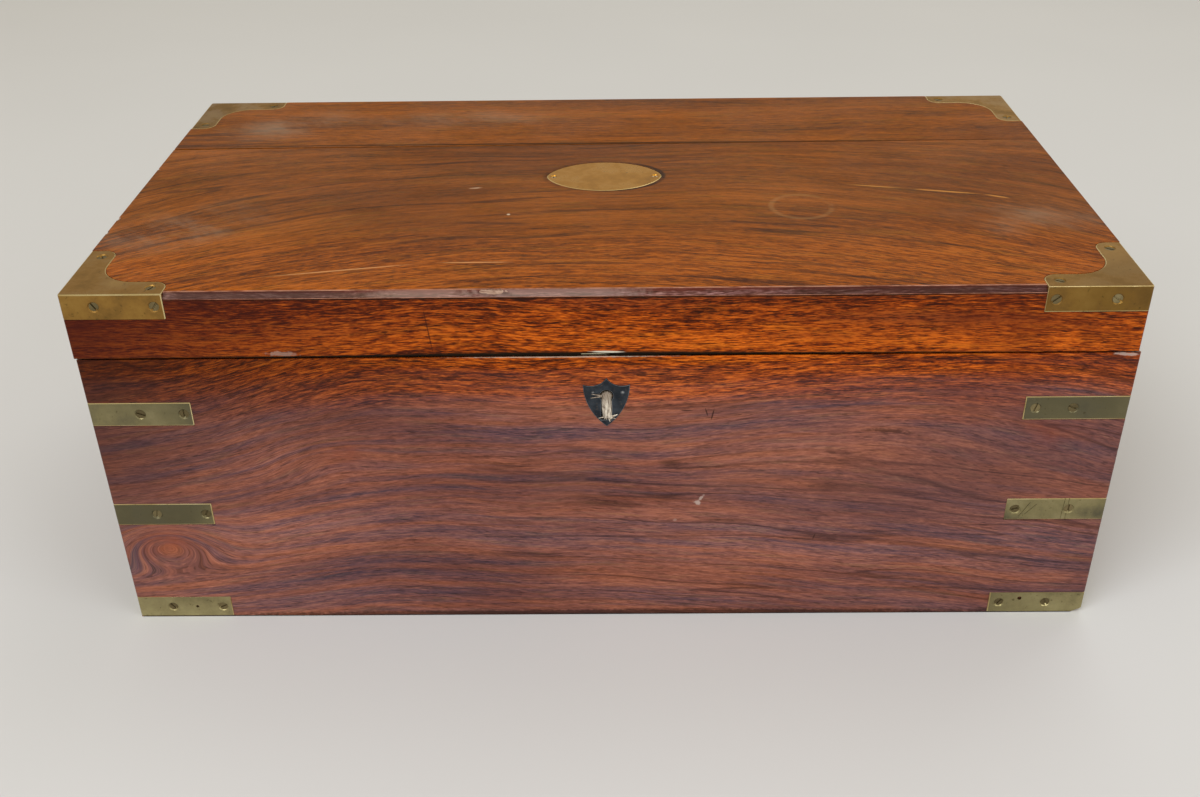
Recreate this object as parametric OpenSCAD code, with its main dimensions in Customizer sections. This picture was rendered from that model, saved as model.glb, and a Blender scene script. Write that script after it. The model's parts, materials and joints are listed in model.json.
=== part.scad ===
// Brass-bound rosewood writing box with a sloping seam.
// The front faces -Y, +Z is up, and the origin is the middle of the underside.
// Closed it is a plain box. The lid turns over by half a turn about the back
// hinges and lies on the table, and the two leather flaps then make one slope.

/* [Box] */
// Width over the base
box_w = 500; // [460:5:540]
// Depth, front to back
box_d = 270; // [255:5:290]
// Height, closed
box_h = 192; // [186:2:204]
// Height of the seam on the front face
seam_front_h = 158; // [154:1:162]
// Thickness of the side boards
wall_t = 12; // [11.5:0.5:13]
// Thickness of the bottom board
bottom_t = 8; // [6:0.5:10]
// Depth of the rebate that holds the bottom board
bottom_rebate = 6; // [4:0.5:8]
// Rounding of the upright corners
edge_r = 1.2; // [0.8:0.1:1.8]
// Gap between base and lid along the seam
seam_gap = 0.8; // [0.6:0.1:1.2]
// Sideways lean of the worn lid, to the left
lid_shift = 1; // [0:0.1:1.6]

/* [Lid top] */
// Full thickness of the lid top
top_t = 9; // [8:0.5:11]
// Thickness of its edge over the side boards
top_lip_t = 3; // [2.95:0.05:3.4]
// Worn bevel along the front edge
front_bevel = 2.8; // [1:0.1:2.9]
// Width of the lid top's front board at its left end
joint_left = 187; // [180:1:200]
// Width of the lid top's front board at its right end
joint_right = 191; // [180:1:200]
// Opening of the board joint at the left end
joint_open_left = 1.3; // [0.4:0.1:2]
// Opening of the board joint at the right end
joint_open_right = 0.3; // [0.2:0.1:1]

/* [Lid corner brasses] */
// Thickness of the corner and strap brass
brass_t = 1.2; // [1:0.1:1.6]
// Length of a corner brass along each edge
corner_len = 48; // [44:1:56]
// Width of its arms on the lid top
corner_arm = 13.5; // [12.5:0.5:15]
// Height of its flanges
corner_flange = 13; // [12:0.5:14]
// Radius of the hollow between its arms
corner_hollow_r = 17; // [12:0.5:19]
// Radius of its rounded arm ends
corner_end_r = 7; // [5:0.5:8]

/* [Corner straps] */
// Length of a strap along each face
strap_len = 50; // [46:1:56]
// Height of a strap
strap_h = 13.2; // [12:0.2:14]
// Middle height of the middle straps
strap_mid_z = 67.5; // [60:0.5:75]
// Middle height of the top straps
strap_top_z = 127.3; // [124:0.5:130]

/* [Screws] */
// Head radius
head_r = 2.75; // [2.5:0.05:3]
// Depth of the countersunk head
head_h = 1.7; // [1.4:0.1:2]
// Shank radius
shank_r = 1; // [0.8:0.05:1.1]
// Length under the face
screw_len = 8; // [6.5:0.5:9]
// Width and depth of the slot
slot_w = 0.7; // [0.5:0.1:0.9]

/* [Oval plate] */
// Length of the plate
plate_len = 63; // [56:1:72]
// Width of the plate
plate_w = 41.5; // [36:0.5:46]
// Thickness of the plate
plate_t = 1; // [0.8:0.1:1.4]
// Distance of its middle from the front face
plate_back = 139.5; // [130:0.5:150]
// Head radius of its two screws
plate_head_r = 1.9; // [1.6:0.1:2.2]

/* [Escutcheon and lock] */
// Thickness of the escutcheon
shield_t = 1.6; // [1.3:0.1:2]
// How far it stands proud of the front
shield_proud = 0.3; // [0.1:0.1:0.5]
// Height of the key post's middle
key_z = 136; // [134:0.5:137]
// Radius of the keyhole's round head
key_r = 3.3; // [3:0.1:3.6]
// Width of the lock case
lock_w = 66; // [64:1:72]
// Depth of the lock case from the inner face
lock_t = 9; // [9:0.1:9.6]
// Drop of the lock case below the key post
lock_drop = 20; // [18:1:24]
// Width of the face plate and of the link plate
link_w = 86; // [84:1:96]
// Thickness of the face plate and of the link plate
link_t = 1.5; // [1.2:0.1:1.8]
// Distance of each hook from the middle
hook_x = 18; // [17:0.5:19]
// Drop of the hooks below the seam
hook_drop = 9; // [8.8:0.1:9.4]
// Travel of the bolt
bolt_travel = 3.2; // [2.5:0.1:3.4]

/* [Hinges] */
// Distance of each hinge from the middle
hinge_x = 165; // [140:1:175]
// Length of a hinge
hinge_len = 64; // [56:1:70]
// Width of a leaf from the pin
leaf_w = 10.5; // [9.5:0.5:11]
// Thickness of a leaf
leaf_t = 1.6; // [1.3:0.1:2]
// Radius of the knuckles
knuckle_r = 2.4; // [2.1:0.1:2.7]
// Radius of the pin
pin_r = 1.1; // [0.9:0.1:1.3]
// Distance of the pin's middle behind the back face
pin_out = 0.5; // [0.4:0.1:0.8]

/* [Carrying handles] */
// Length of the sunk plate
handle_len = 108; // [104:1:120]
// Height of the sunk plate
handle_h = 44; // [42:1:48]
// Height of its middle above the table
handle_z = 80; // [76:1:84]
// Thickness of its rim
rim_t = 1.6; // [1.2:0.1:2]
// Depth of the sunk dish
dish_depth = 7.2; // [6.8:0.1:7.6]
// Radius of the bail's bar
bail_r = 2.8; // [2.4:0.1:3]

/* [Flaps] */
// Thickness of a flap
flap_t = 7; // [6:0.5:8]
// Thickness of the leather panel
leather_t = 1; // [0.8:0.1:1.4]
// Width of the wooden border round the leather
border_w = 16; // [14:1:22]
// Clearance between a flap and what is round it
flap_clear = 0.6; // [0.4:0.1:1]
// Radius of a flap's pivot pins
flap_pin_r = 1.5; // [1.2:0.1:1.8]
// Radius of the finger notch
notch_r = 9; // [8:0.5:11]

/* [Writing compartments] */
// Clear depth of the front compartment, front to back
tray_bay = 52; // [50:1:56]
// Thickness of the partition behind it
partition_t = 6; // [5:0.5:8]
// Height of the compartment's floor
floor_z = 90; // [88:1:92]
// Thickness of the compartment's floor
floor_t = 5; // [4:0.5:5.5]
// Clear width of the ink wells at each end
ink_bay = 50; // [48:1:56]
// Thickness of the dividers
divider_t = 5; // [4:0.5:6]
// Height of the pen tray
tray_h = 16; // [15:0.5:18]
// Height of the pen tray's underside
tray_z = 122; // [119:0.5:123]
// Radius of the tray's channels
channel_r = 12; // [11:0.5:12]
// Width of a glass inkwell
well_w = 42; // [38:0.5:44]
// Height of its square part
well_h = 25; // [22:0.5:26]

/* [Hidden] */

$fn = 48;
rosewood = "#6e2f16";
lining = "#8a5530";
brass = "#8c7434";
gilt_brass = "#a5823a";
black_steel = "#2c3038";
steel = "#9a9ca0";
leather = "#1f3b2c";
glass = "#b9d0cc";

// Clearances
fit = 0.05;          // between a piece let in and its recess
run = 0.05;          // radial, between a pin and its bore
knuckle_gap = 0.3;   // between neighbouring knuckles
wide = 0.4;          // round the knuckles and other moving metal

// The seam plane runs through the hinge pins, half the height up
axis_y = box_d / 2 + pin_out;
axis_z = box_h / 2;
slope = atan((seam_front_h - axis_z) / (box_d + pin_out));
half_gap = seam_gap / 2;
in_w = box_w / 2 - wall_t;
in_d = box_d / 2 - wall_t;
wall_top = box_h - top_lip_t;
top_under = box_h - top_t;

// Height of the seam plane over a depth y, and the distance along the plane
// from the pins to the upright plane y at the height v above the seam
function seam_z(y) = axis_z + (axis_y - y) * tan(slope);
function seam_u(y, v) = (axis_y - y + v * sin(slope)) / cos(slope);

module on_seam() translate([0, axis_y, axis_z]) rotate([-slope, 0, 0]) children();
module below_seam(drop) on_seam()
    translate([-box_w, -2 * box_d, -3 * box_h - half_gap - drop])
    cube([2 * box_w, 4 * box_d, 3 * box_h]);
module above_seam(rise) on_seam()
    translate([-box_w, -2 * box_d, half_gap + rise])
    cube([2 * box_w, 4 * box_d, 3 * box_h]);
module in_lid() translate([-lid_shift, 0, 0]) children();

module rounded_rect(w, d, r) {
    square([w - 2 * r, d], center = true);
    square([w, d - 2 * r], center = true);
    for (sx = [-1, 1])
        for (sy = [-1, 1])
            translate([sx * (w / 2 - r), sy * (d / 2 - r)]) circle(r);
}
module outer_box() linear_extrude(box_h) rounded_rect(box_w, box_d, edge_r);

// A child drawn in the quadrant +X +Y from an outer upright corner goes to the
// corner on the side sx (-1 left, 1 right) and sy (-1 front, 1 back)
module at_corner(sx, sy)
    translate([sx * box_w / 2, sy * box_d / 2, 0])
    mirror([sx > 0 ? 1 : 0, 0, 0]) mirror([0, sy > 0 ? 1 : 0, 0])
    children();
module face_y() rotate([90, 0, 0]) children();
module face_x() rotate([0, -90, 0]) children();

// Slotted countersunk screw, its face at z 0 and its shank down
module screw(r = head_r, turn = 0, len = screw_len, shank = shank_r)
    rotate([0, 0, turn]) difference() {
        union() {
            translate([0, 0, -len]) cylinder(r = shank, h = len - head_h);
            translate([0, 0, -head_h]) cylinder(r1 = shank, r2 = r, h = head_h);
        }
        translate([-2 * r, -slot_w / 2, -slot_w]) cube([4 * r, slot_w, 2 * slot_w]);
    }
module screw_hole(r = head_r, len = screw_len, shank = shank_r) {
    translate([0, 0, -len - fit]) cylinder(r = shank + fit, h = len + fit);
    translate([0, 0, -head_h]) cylinder(r1 = shank + fit, r2 = r + fit, h = head_h);
    translate([0, 0, -0.01]) cylinder(r = r + fit, h = 1);
}

// Side boards

module wall_outline(len) polygon([[-len / 2, 0], [len / 2, 0],
    [len / 2 - wall_t, wall_t], [-len / 2 + wall_t, wall_t]]);
module wall(side) {
    if (side == "front")
        translate([0, -box_d / 2, 0]) linear_extrude(wall_top) wall_outline(box_w);
    if (side == "back")
        mirror([0, 1, 0]) translate([0, -box_d / 2, 0])
            linear_extrude(wall_top) wall_outline(box_w);
    if (side == "left")
        translate([-box_w / 2, 0, 0]) rotate([0, 0, -90])
            linear_extrude(wall_top) wall_outline(box_d);
    if (side == "right")
        mirror([1, 0, 0]) translate([-box_w / 2, 0, 0]) rotate([0, 0, -90])
            linear_extrude(wall_top) wall_outline(box_d);
}
module bottom_blank(grow) translate([-in_w - bottom_rebate - grow, -in_d - bottom_rebate - grow, 0])
    cube([2 * (in_w + bottom_rebate + grow), 2 * (in_d + bottom_rebate + grow), bottom_t + grow]);
module base_board(side) difference() {
    intersection() {
        wall(side);
        outer_box();
        below_seam(0);
    }
    translate([0, 0, -1]) bottom_blank(fit);
    bottom_blank(fit);
}
module lid_board(side) in_lid() intersection() {
    wall(side);
    outer_box();
    above_seam(0);
}

// Corner straps: three heights at the front, and at the back two on the base
// and the third on the lid

strap_z = [0.2, strap_mid_z - strap_h / 2, strap_top_z - strap_h / 2];
strap_near = 20;     // from the corner to a strap's first screw
strap_end = 4.5;     // from a strap's end to its second screw
// How far the old hand-set screws on the front miss those places: left and
// right strap, each from the bottom up
front_miss = [[[-1.6, -0.5], [1.3, 0.8], [4.6, 0.3]], [[0, -1.2], [-1.8, -0.4], [6.4, -1]]];
function strap_screws(sx, sy, level) =
    let (miss = sy < 0 ? front_miss[sx < 0 ? 0 : 1][level] : [0, 0])
    [strap_near + miss[0], strap_len - strap_end + miss[1]];

module strap_blank(grow) {
    cube([strap_len + grow, brass_t + grow, strap_h + grow]);
    cube([brass_t + grow, strap_len + grow, strap_h + grow]);
}
module each_strap_screw(sx, sy, level) at_corner(sx, sy)
    translate([0, 0, strap_z[level] + strap_h / 2]) {
        for (s = strap_screws(sx, sy, level)) translate([s, 0, 0]) face_y() children();
        for (s = [strap_near, strap_len - strap_end]) translate([0, s, 0]) face_x() children();
    }
module strap(sx, sy, level) color(brass) difference() {
    intersection() {
        at_corner(sx, sy) translate([0, 0, strap_z[level]]) strap_blank(0);
        outer_box();
    }
    each_strap_screw(sx, sy, level) screw_hole();
}
module strap_cut(sx, sy, level) {
    at_corner(sx, sy) translate([-1, -1, strap_z[level] - fit])
        cube([strap_len + 1 + fit, brass_t + 1 + fit, strap_h + 2 * fit]);
    at_corner(sx, sy) translate([-1, -1, strap_z[level] - fit])
        cube([brass_t + 1 + fit, strap_len + 1 + fit, strap_h + 2 * fit]);
    each_strap_screw(sx, sy, level) screw_hole();
}

// Carrying handles: a rim let in flush and a dish sunk behind it

rim_end = 11;                                // rim beyond each end of the dish
rim_edge = 6;                                // rim above and below the dish
rim_r = 4;                                   // rounding of the rim's corners
dish_wall = 1;
dish_end = 2.4;                              // wall that carries the bail
dish_len = handle_len - 2 * rim_end;         // clear length of the dish
dish_h = handle_h - 2 * rim_edge;            // clear height of the dish
dish_r = 5;
bail_over = 4;                               // room above the bail's pivot
finger_under = 5.5;                          // room under the grip for a finger tip
bail_side = 1.6;                             // room beside the bail's arms
bail_depth = dish_depth / 2;                 // from the box's side to the pivot
bail_top = dish_h / 2 - bail_r - bail_over;  // pivot above the plate's middle
bail_drop = dish_h - 2 * bail_r - bail_over - finger_under;    // pivot to the middle of the grip
bail_half = dish_len / 2 - bail_r - bail_side;
bail_bend = 6;
stub_r = 2;
stub_short = 0.2;                            // the stubs end short of the dish wall's outside
handle_screw_y = handle_len / 2 - 4.6;
handle_screw_z = handle_h / 2 - 6;

// Local frame of a handle: Z out of the box's side, X along the depth, Y up
module on_side(sx) translate([sx * box_w / 2, 0, handle_z])
    rotate([90, 0, sx * 90]) children();
module each_handle_screw() for (x = [-1, 1]) for (y = [-1, 1])
    translate([x * handle_screw_y, y * handle_screw_z, 0]) children();
module handle_plate(sx) color(brass) on_side(sx) difference() {
    union() {
        translate([0, 0, -rim_t]) linear_extrude(rim_t) rounded_rect(handle_len, handle_h, rim_r);
        translate([0, 0, -dish_depth - dish_wall]) linear_extrude(dish_depth)
            rounded_rect(dish_len + 2 * dish_end, dish_h + 2 * dish_wall, dish_r + dish_wall);
    }
    translate([0, 0, -dish_depth]) linear_extrude(dish_depth + 1)
        rounded_rect(dish_len, dish_h, dish_r);
    translate([0, bail_top, -bail_depth]) rotate([0, 90, 0])
        cylinder(r = stub_r + run, h = dish_len + 2 * dish_end + 2, center = true);
    each_handle_screw() screw_hole();
}
module handle_cut(sx) on_side(sx) {
    translate([0, 0, -rim_t - fit]) linear_extrude(rim_t + 1)
        rounded_rect(handle_len + 2 * fit, handle_h + 2 * fit, rim_r + fit);
    translate([0, 0, -dish_depth - dish_wall - fit]) linear_extrude(dish_depth + 1)
        rounded_rect(dish_len + 2 * dish_end + 2 * fit, dish_h + 2 * (dish_wall + fit),
            dish_r + dish_wall + fit);
    each_handle_screw() screw_hole();
}
module bail(sx) color(brass) on_side(sx) translate([0, bail_top, -bail_depth]) {
    for (s = [-1, 1]) {
        translate([s * bail_half, 0, 0]) sphere(bail_r);
        translate([s * bail_half, 0, 0]) rotate([0, s * 90, 0])
            cylinder(r = stub_r, h = dish_len / 2 + dish_end - stub_short - bail_half);
        translate([s * bail_half, 0, 0]) rotate([90, 0, 0])
            cylinder(r = bail_r, h = bail_drop - bail_bend);
        translate([s * (bail_half - bail_bend), -bail_drop + bail_bend, 0])
            rotate([0, 0, s > 0 ? -90 : 180]) rotate_extrude(angle = 90)
            translate([bail_bend, 0]) circle(bail_r);
    }
    translate([0, -bail_drop, 0]) rotate([0, 90, 0])
        cylinder(r = bail_r, h = 2 * (bail_half - bail_bend), center = true);
}

// Hinges: five knuckles on a pin, the base leaf has the first, third and fifth

knuckle_len = hinge_len / 5;
leaf_screw_u = leaf_w - 4;
leaf_screw_step = 24;

module at_hinge(sx) on_seam() translate([sx * hinge_x, 0, 0]) children();
module knuckle_row(first, r, len) for (i = [first:2:4])
    translate([(i - 2) * knuckle_len, 0, 0]) rotate([0, 90, 0])
    cylinder(r = r, h = len, center = true);
// A leaf lies below the seam for the base and above it for the lid
module leaf(sx, up) color(brass) at_hinge(sx) mirror([0, 0, up]) difference() {
    union() {
        translate([-hinge_len / 2, -leaf_w, -half_gap - leaf_t])
            cube([hinge_len, leaf_w, leaf_t]);
        knuckle_row(up, knuckle_r, knuckle_len - knuckle_gap);
    }
    knuckle_row(1 - up, knuckle_r + wide, knuckle_len);
    rotate([0, 90, 0]) cylinder(r = pin_r + run, h = 2 * hinge_len, center = true);
    each_leaf_screw() screw_hole();
}
module each_leaf_screw() for (x = [-1, 0, 1])
    translate([x * leaf_screw_step, -leaf_screw_u, -half_gap]) children();
module hinge_cut(sx, up) at_hinge(sx) mirror([0, 0, up]) {
    translate([-hinge_len / 2 - fit, -leaf_w - fit, -half_gap - leaf_t - fit])
        cube([hinge_len + 2 * fit, leaf_w + 2 * knuckle_r, leaf_t + 1]);
    rotate([0, 90, 0])
        cylinder(r = knuckle_r + wide, h = hinge_len + 2 * wide, center = true);
    each_leaf_screw() screw_hole();
}

// Lock: the case stands in the front board, the bolt slides to the left under
// the toes of the link plate's hooks

lock_y = -in_d;                        // inner face of the front board
case_front = 0.9;
case_back = 1.4;
case_side = 1.2;
lock_low = key_z - lock_drop;
hook_half = 1;                         // half the thickness of a hook
hook_w = 4;
toe_len = 3;
toe_h = 2.6;
hook_y = lock_y - (lock_t - case_front + case_back) / 2 + hook_drop * sin(slope) / 2;
hook_u = seam_u(hook_y, 0);
hook_z = seam_z(hook_y);
bolt_t = 2.4;
bolt_y = hook_y - (hook_drop - toe_h) * sin(slope);
bolt_low = key_z + 4;
bolt_high = hook_z - hook_drop * cos(slope) - 0.9;
finger_low = hook_z - (hook_drop - toe_h) * cos(slope) + 0.8;
finger_high = hook_z - (half_gap + link_t) / cos(slope) - 0.7;
finger_tip = hook_x + hook_w / 2 + toe_len + 0.8;
finger_len = bolt_travel;            // so that the thrown bolt stops short of the toe
riser_w = 3;
talon_w = 6;                           // notch that the key bit pushes in
talon_h = 2.5;
lug_x = 14;                            // lugs that the bolt slides on
lug_w = 4;
lug_h = 3;
lug_gap = 0.3;
post_r = 1.3;
hook_room = 0.8;                       // round a hook in its slot in the face plate
link_edge = 1.2;                       // wood left in front of the plates
link_back = 0.8;                       // and behind them
link_screw_x = link_w / 2 - 5.5;
link_head_r = 2.2;

slot_top = 2.4;                        // half widths of the keyhole's slot
slot_foot = 2.75;
slot_drop = 13.4;
module keyhole(from_y, to_y) translate([0, to_y, 0]) rotate([90, 0, 0])
    linear_extrude(to_y - from_y) {
        translate([0, key_z]) circle(key_r);
        polygon([[-slot_top, key_z], [slot_top, key_z],
            [slot_foot, key_z - slot_drop], [-slot_foot, key_z - slot_drop]]);
    }
module case_blank(grow) translate([-lock_w / 2 - grow, lock_y - lock_t - grow, lock_low - grow])
    cube([lock_w + 2 * grow, lock_t + grow, box_h]);
module lock_case() color(gilt_brass) {
    difference() {
        intersection() {
            case_blank(0);
            below_seam(link_t + fit);
        }
        translate([-lock_w / 2 + case_side, lock_y - lock_t + case_front, lock_low + case_side])
            cube([lock_w - 2 * case_side, lock_t - case_front - case_back, box_h]);
        keyhole(lock_y - lock_t - 1, lock_y - lock_t + case_front + 1);
    }
    // Key post and the two lugs that the bolt slides on
    translate([0, lock_y - case_back, key_z]) rotate([90, 0, 0])
        cylinder(r = post_r, h = lock_t - case_front - case_back);
    for (s = [-1, 1])
        translate([s * lug_x - lug_w / 2, lock_y - lock_t + case_front, bolt_low - lug_gap - lug_h])
        cube([lug_w, lock_t - case_front - case_back, lug_h]);
}
module link_blank(up, grow) {
    v0 = up ? half_gap : -half_gap - link_t;
    u0 = seam_u(lock_y, v0) + link_back;
    u1 = seam_u(-box_d / 2 + link_edge, v0);
    translate([-link_w / 2 - grow, -u1 - grow, v0 - grow])
        cube([link_w + 2 * grow, u1 - u0 + 2 * grow, link_t + 2 * grow]);
}
module each_link_screw(v) for (s = [-1, 1])
    translate([s * link_screw_x, -hook_u, v]) children();
module lock_face_plate() color(gilt_brass) on_seam() difference() {
    link_blank(false, 0);
    for (s = [-1, 1])
        translate([s * hook_x - hook_w / 2 - hook_room, -hook_u - hook_half - hook_room,
            -half_gap - 2 * link_t])
        cube([hook_w + toe_len + 2 * hook_room, 2 * (hook_half + hook_room), 4 * link_t]);
    each_link_screw(-half_gap) screw_hole(link_head_r);
}
module lock_bolt() color(steel) {
    x0 = -hook_x;
    x1 = finger_tip + finger_len + riser_w;
    translate([x0, bolt_y - bolt_t / 2, bolt_low]) difference() {
        cube([x1 - x0, bolt_t, bolt_high - bolt_low]);
        translate([-x0 - talon_w / 2, -1, -1]) cube([talon_w, bolt_t + 2, talon_h + 1]);
    }
    for (s = [-1, 1]) translate([s * hook_x - hook_x, bolt_y - bolt_t / 2, 0]) {
        translate([finger_tip + finger_len, 0, bolt_low])
            cube([riser_w, bolt_t, finger_high - bolt_low]);
        translate([finger_tip, 0, finger_low])
            cube([finger_len + riser_w, bolt_t, finger_high - finger_low]);
    }
}
module link_plate() color(gilt_brass) on_seam() {
    difference() {
        link_blank(true, 0);
        each_link_screw(half_gap) rotate([180, 0, 0]) screw_hole(link_head_r);
    }
    for (s = [-1, 1]) translate([s * hook_x, -hook_u, 0]) {
        translate([-hook_w / 2, -hook_half, -hook_drop])
            cube([hook_w, 2 * hook_half, hook_drop + half_gap + link_t / 2]);
        translate([-hook_w / 2, -hook_half, -hook_drop])
            cube([hook_w + toe_len, 2 * hook_half, toe_h]);
    }
}

// Shield escutcheon: two flanks of one radius and a top of two hollows

shield_top = 10;          // point of the shield above the key post
shield_half = 11.2;       // half the width at the ears
ear_drop = 3.7;           // ears below the point
flank_r = 30;             // radius of the flanks
hollow_r = 8.8;           // radius of the two hollows in the top edge
hollow_at = [7.6, 4.3];   // their middles, beside and above the point
pin_xs = [-6.5, 7.7];     // two pins driven by hand, not quite alike
pin_up = 2;               // pins above the key post
pin_hole_r = 0.65;
pin_len = wall_t - lock_t + shield_proud - 0.1;    // they end short of the lock case
module shield_2d(grow) translate([0, key_z]) difference() {
    intersection() {
        flank_2d(1, grow);
        flank_2d(-1, grow);
        translate([-flank_r, -flank_r]) square([2 * flank_r, flank_r + shield_top + grow]);
    }
    for (s = [-1, 1]) translate([s * hollow_at[0], shield_top + hollow_at[1]])
        circle(hollow_r - grow);
}
module flank_2d(s, grow) translate([s * (shield_half - flank_r), shield_top - ear_drop])
    circle(flank_r + grow, $fn = 96);
module escutcheon() color(black_steel) difference() {
    translate([0, -box_d / 2 - shield_proud + shield_t, 0]) rotate([90, 0, 0])
        linear_extrude(shield_t) shield_2d(0);
    keyhole(-box_d, 0);
    each_shield_pin() cylinder(r = pin_hole_r, h = 4 * shield_t, center = true);
}
module each_shield_pin() for (x = pin_xs) translate([x, -box_d / 2 - shield_proud, key_z + pin_up])
    rotate([90, 0, 0]) children();
module escutcheon_pins() color(black_steel) each_shield_pin()
    translate([0, 0, -pin_len]) cylinder(r = pin_hole_r - fit, h = pin_len);

module base_front() color(rosewood) difference() {
    base_board("front");
    for (sx = [-1, 1]) for (level = [0:2]) strap_cut(sx, -1, level);
    translate([0, -box_d / 2 - shield_proud + shield_t + fit, 0]) rotate([90, 0, 0])
        linear_extrude(shield_t + 1) shield_2d(fit);
    keyhole(-box_d, lock_y - 1);
    case_blank(fit);
    on_seam() link_blank(false, fit);
    on_seam() translate([0, 0, link_t]) link_blank(false, fit);
    on_seam() each_link_screw(-half_gap) screw_hole(link_head_r);
    each_shield_pin() translate([0, 0, -2 * pin_len]) cylinder(r = pin_hole_r, h = 2 * pin_len + 1);
}
module base_back() color(rosewood) difference() {
    base_board("back");
    for (sx = [-1, 1]) for (level = [0:1]) strap_cut(sx, 1, level);
    for (sx = [-1, 1]) hinge_cut(sx, 0);
}
module base_side(sx) color(rosewood) difference() {
    base_board(sx < 0 ? "left" : "right");
    for (level = [0:2]) strap_cut(sx, -1, level);
    for (level = [0:1]) strap_cut(sx, 1, level);
    handle_cut(sx);
    translate([sx * in_w, 0, 0]) flap_pin_hole(false);
}
module base_bottom() color(lining) difference() {
    bottom_blank(0);
    for (sx = [-1, 1]) for (sy = [-1, 1]) each_strap_screw(sx, sy, 0) screw_hole();
}

// Front compartment

bay_front = -in_d;
bay_back = bay_front + tray_bay;
well_front = bay_back + partition_t;
divider_x = in_w - ink_bay - divider_t;
ledge_w = 5;
ledge_h = 6;
partition_down = 0.6;    // the partition's top below the seam
divider_down = 2;        // the dividers' tops below the seam

module well_partition() color(lining) intersection() {
    translate([-in_w, bay_back, bottom_t]) cube([2 * in_w, partition_t, box_h]);
    below_seam(partition_down);
}
module compartment_floor() color(lining)
    translate([-in_w, bay_front, floor_z]) cube([2 * in_w, tray_bay, floor_t]);
module ink_dividers() color(lining) for (s = [0, 1]) mirror([s, 0, 0]) {
    intersection() {
        translate([divider_x, bay_front, floor_z + floor_t])
            cube([divider_t, tray_bay, box_h]);
        below_seam(divider_down);
    }
    translate([divider_x - ledge_w, bay_front, tray_z - tray_rest - ledge_h])
        cube([ledge_w + 1, tray_bay, ledge_h]);
}
tray_clear = 0.6;        // round the loose tray
tray_rest = 0.3;         // under it
tray_half = divider_x - tray_clear;
tray_end = 18;           // from the tray's end to the middle of a channel's round end
channel_deep = 7.6;
channel_step = tray_bay / 2 - 1.8;
channel_up = channel_r - channel_deep;
module pen_tray() color(lining) difference() {
    translate([-tray_half, bay_front + tray_clear, tray_z])
        cube([2 * tray_half, tray_bay - 2 * tray_clear, tray_h]);
    for (s = [-1, 1]) translate([0, bay_front + tray_bay / 2 + s * channel_step / 2,
        tray_z + tray_h + channel_up]) {
        rotate([0, 90, 0])
            cylinder(r = channel_r, h = 2 * (tray_half - tray_end), center = true);
        for (e = [-1, 1]) translate([e * (tray_half - tray_end), 0, 0]) sphere(channel_r);
    }
}

// Inkwells: square glass, brass collar with a hinge pin, domed cap

well_x = in_w - ink_bay / 2;
well_y = bay_front + tray_bay / 2;
well_z = floor_z + floor_t;
neck_r = 12;
mouth_r = 9;
shoulder_h = 5;
neck_h = 5;
collar_r = 14;
collar_h = 4.6;
collar_z = well_h + shoulder_h + 0.6;
rim_z = collar_z + collar_h;
cap_gap = 0.3;           // between the rim and the cap
cap_edge = 1.2;          // upright edge of the cap
cap_dome = 4.6;          // rise of its dome
cap_t = 1.6;
cap_hinge_y = -collar_r - 2;
cap_knuckle_r = 1.7;
cap_pin_r = 0.7;
cap_ear_x = 4;           // ears of the collar beside the cap's knuckle
cap_ear_w = 2.4;
module at_well(s) translate([s * well_x, well_y, well_z]) children();
module inkwells() color(glass) for (s = [-1, 1]) at_well(s) difference() {
    union() {
        linear_extrude(well_h) rounded_rect(well_w, well_w, 4);
        translate([0, 0, well_h])
            cylinder(r1 = well_w / 2 - 0.5, r2 = neck_r, h = shoulder_h);
        cylinder(r = neck_r, h = well_h + shoulder_h + neck_h);
    }
    rotate_extrude() polygon([[0, 4], [well_w / 2 - 6, 4], [well_w / 2 - 6, well_h - 2],
        [mouth_r, well_h + shoulder_h - 2], [mouth_r, well_h + 30], [0, well_h + 30]]);
}
module inkwell_collars() color(gilt_brass) for (s = [-1, 1]) at_well(s) {
    difference() {
        union() {
            translate([0, 0, collar_z]) cylinder(r = collar_r, h = collar_h);
            for (e = [-1, 1]) translate([e * cap_ear_x, cap_hinge_y, rim_z]) {
                translate([-cap_ear_w / 2, -0.01, -collar_h]) cube([cap_ear_w, 6, collar_h]);
                rotate([0, 90, 0]) cylinder(r = cap_knuckle_r, h = cap_ear_w, center = true);
            }
        }
        cylinder(r = neck_r + fit, h = rim_z + 10);
        translate([0, 0, rim_z]) cylinder(r = collar_r + 0.2, h = 10);
    }
    translate([0, cap_hinge_y, rim_z]) rotate([0, 90, 0])
        cylinder(r = cap_pin_r, h = 2 * cap_ear_x, center = true);
}
module inkwell_cap(s) color(gilt_brass) at_well(s) difference() {
    union() {
        translate([0, 0, rim_z + cap_gap]) rotate_extrude() polygon(concat([[0, 0], [collar_r, 0]],
            [for (i = [0:9]) [collar_r * cos(10 * i), cap_edge + cap_dome * sin(10 * i)]]));
        translate([-cap_ear_w, cap_hinge_y, rim_z + cap_gap + 0.1])
            cube([2 * cap_ear_w, 6, cap_t - cap_gap - 0.1]);
        translate([0, cap_hinge_y, rim_z]) rotate([0, 90, 0])
            cylinder(r = cap_knuckle_r, h = 2 * cap_ear_w, center = true);
    }
    translate([0, 0, rim_z]) cylinder(r = mouth_r - 1, h = 3);
    translate([0, cap_hinge_y, rim_z]) rotate([0, 90, 0])
        cylinder(r = cap_pin_r + run, h = 10, center = true);
}

// Flaps: a board with a round nose on two pivot pins, and a leather panel

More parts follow.
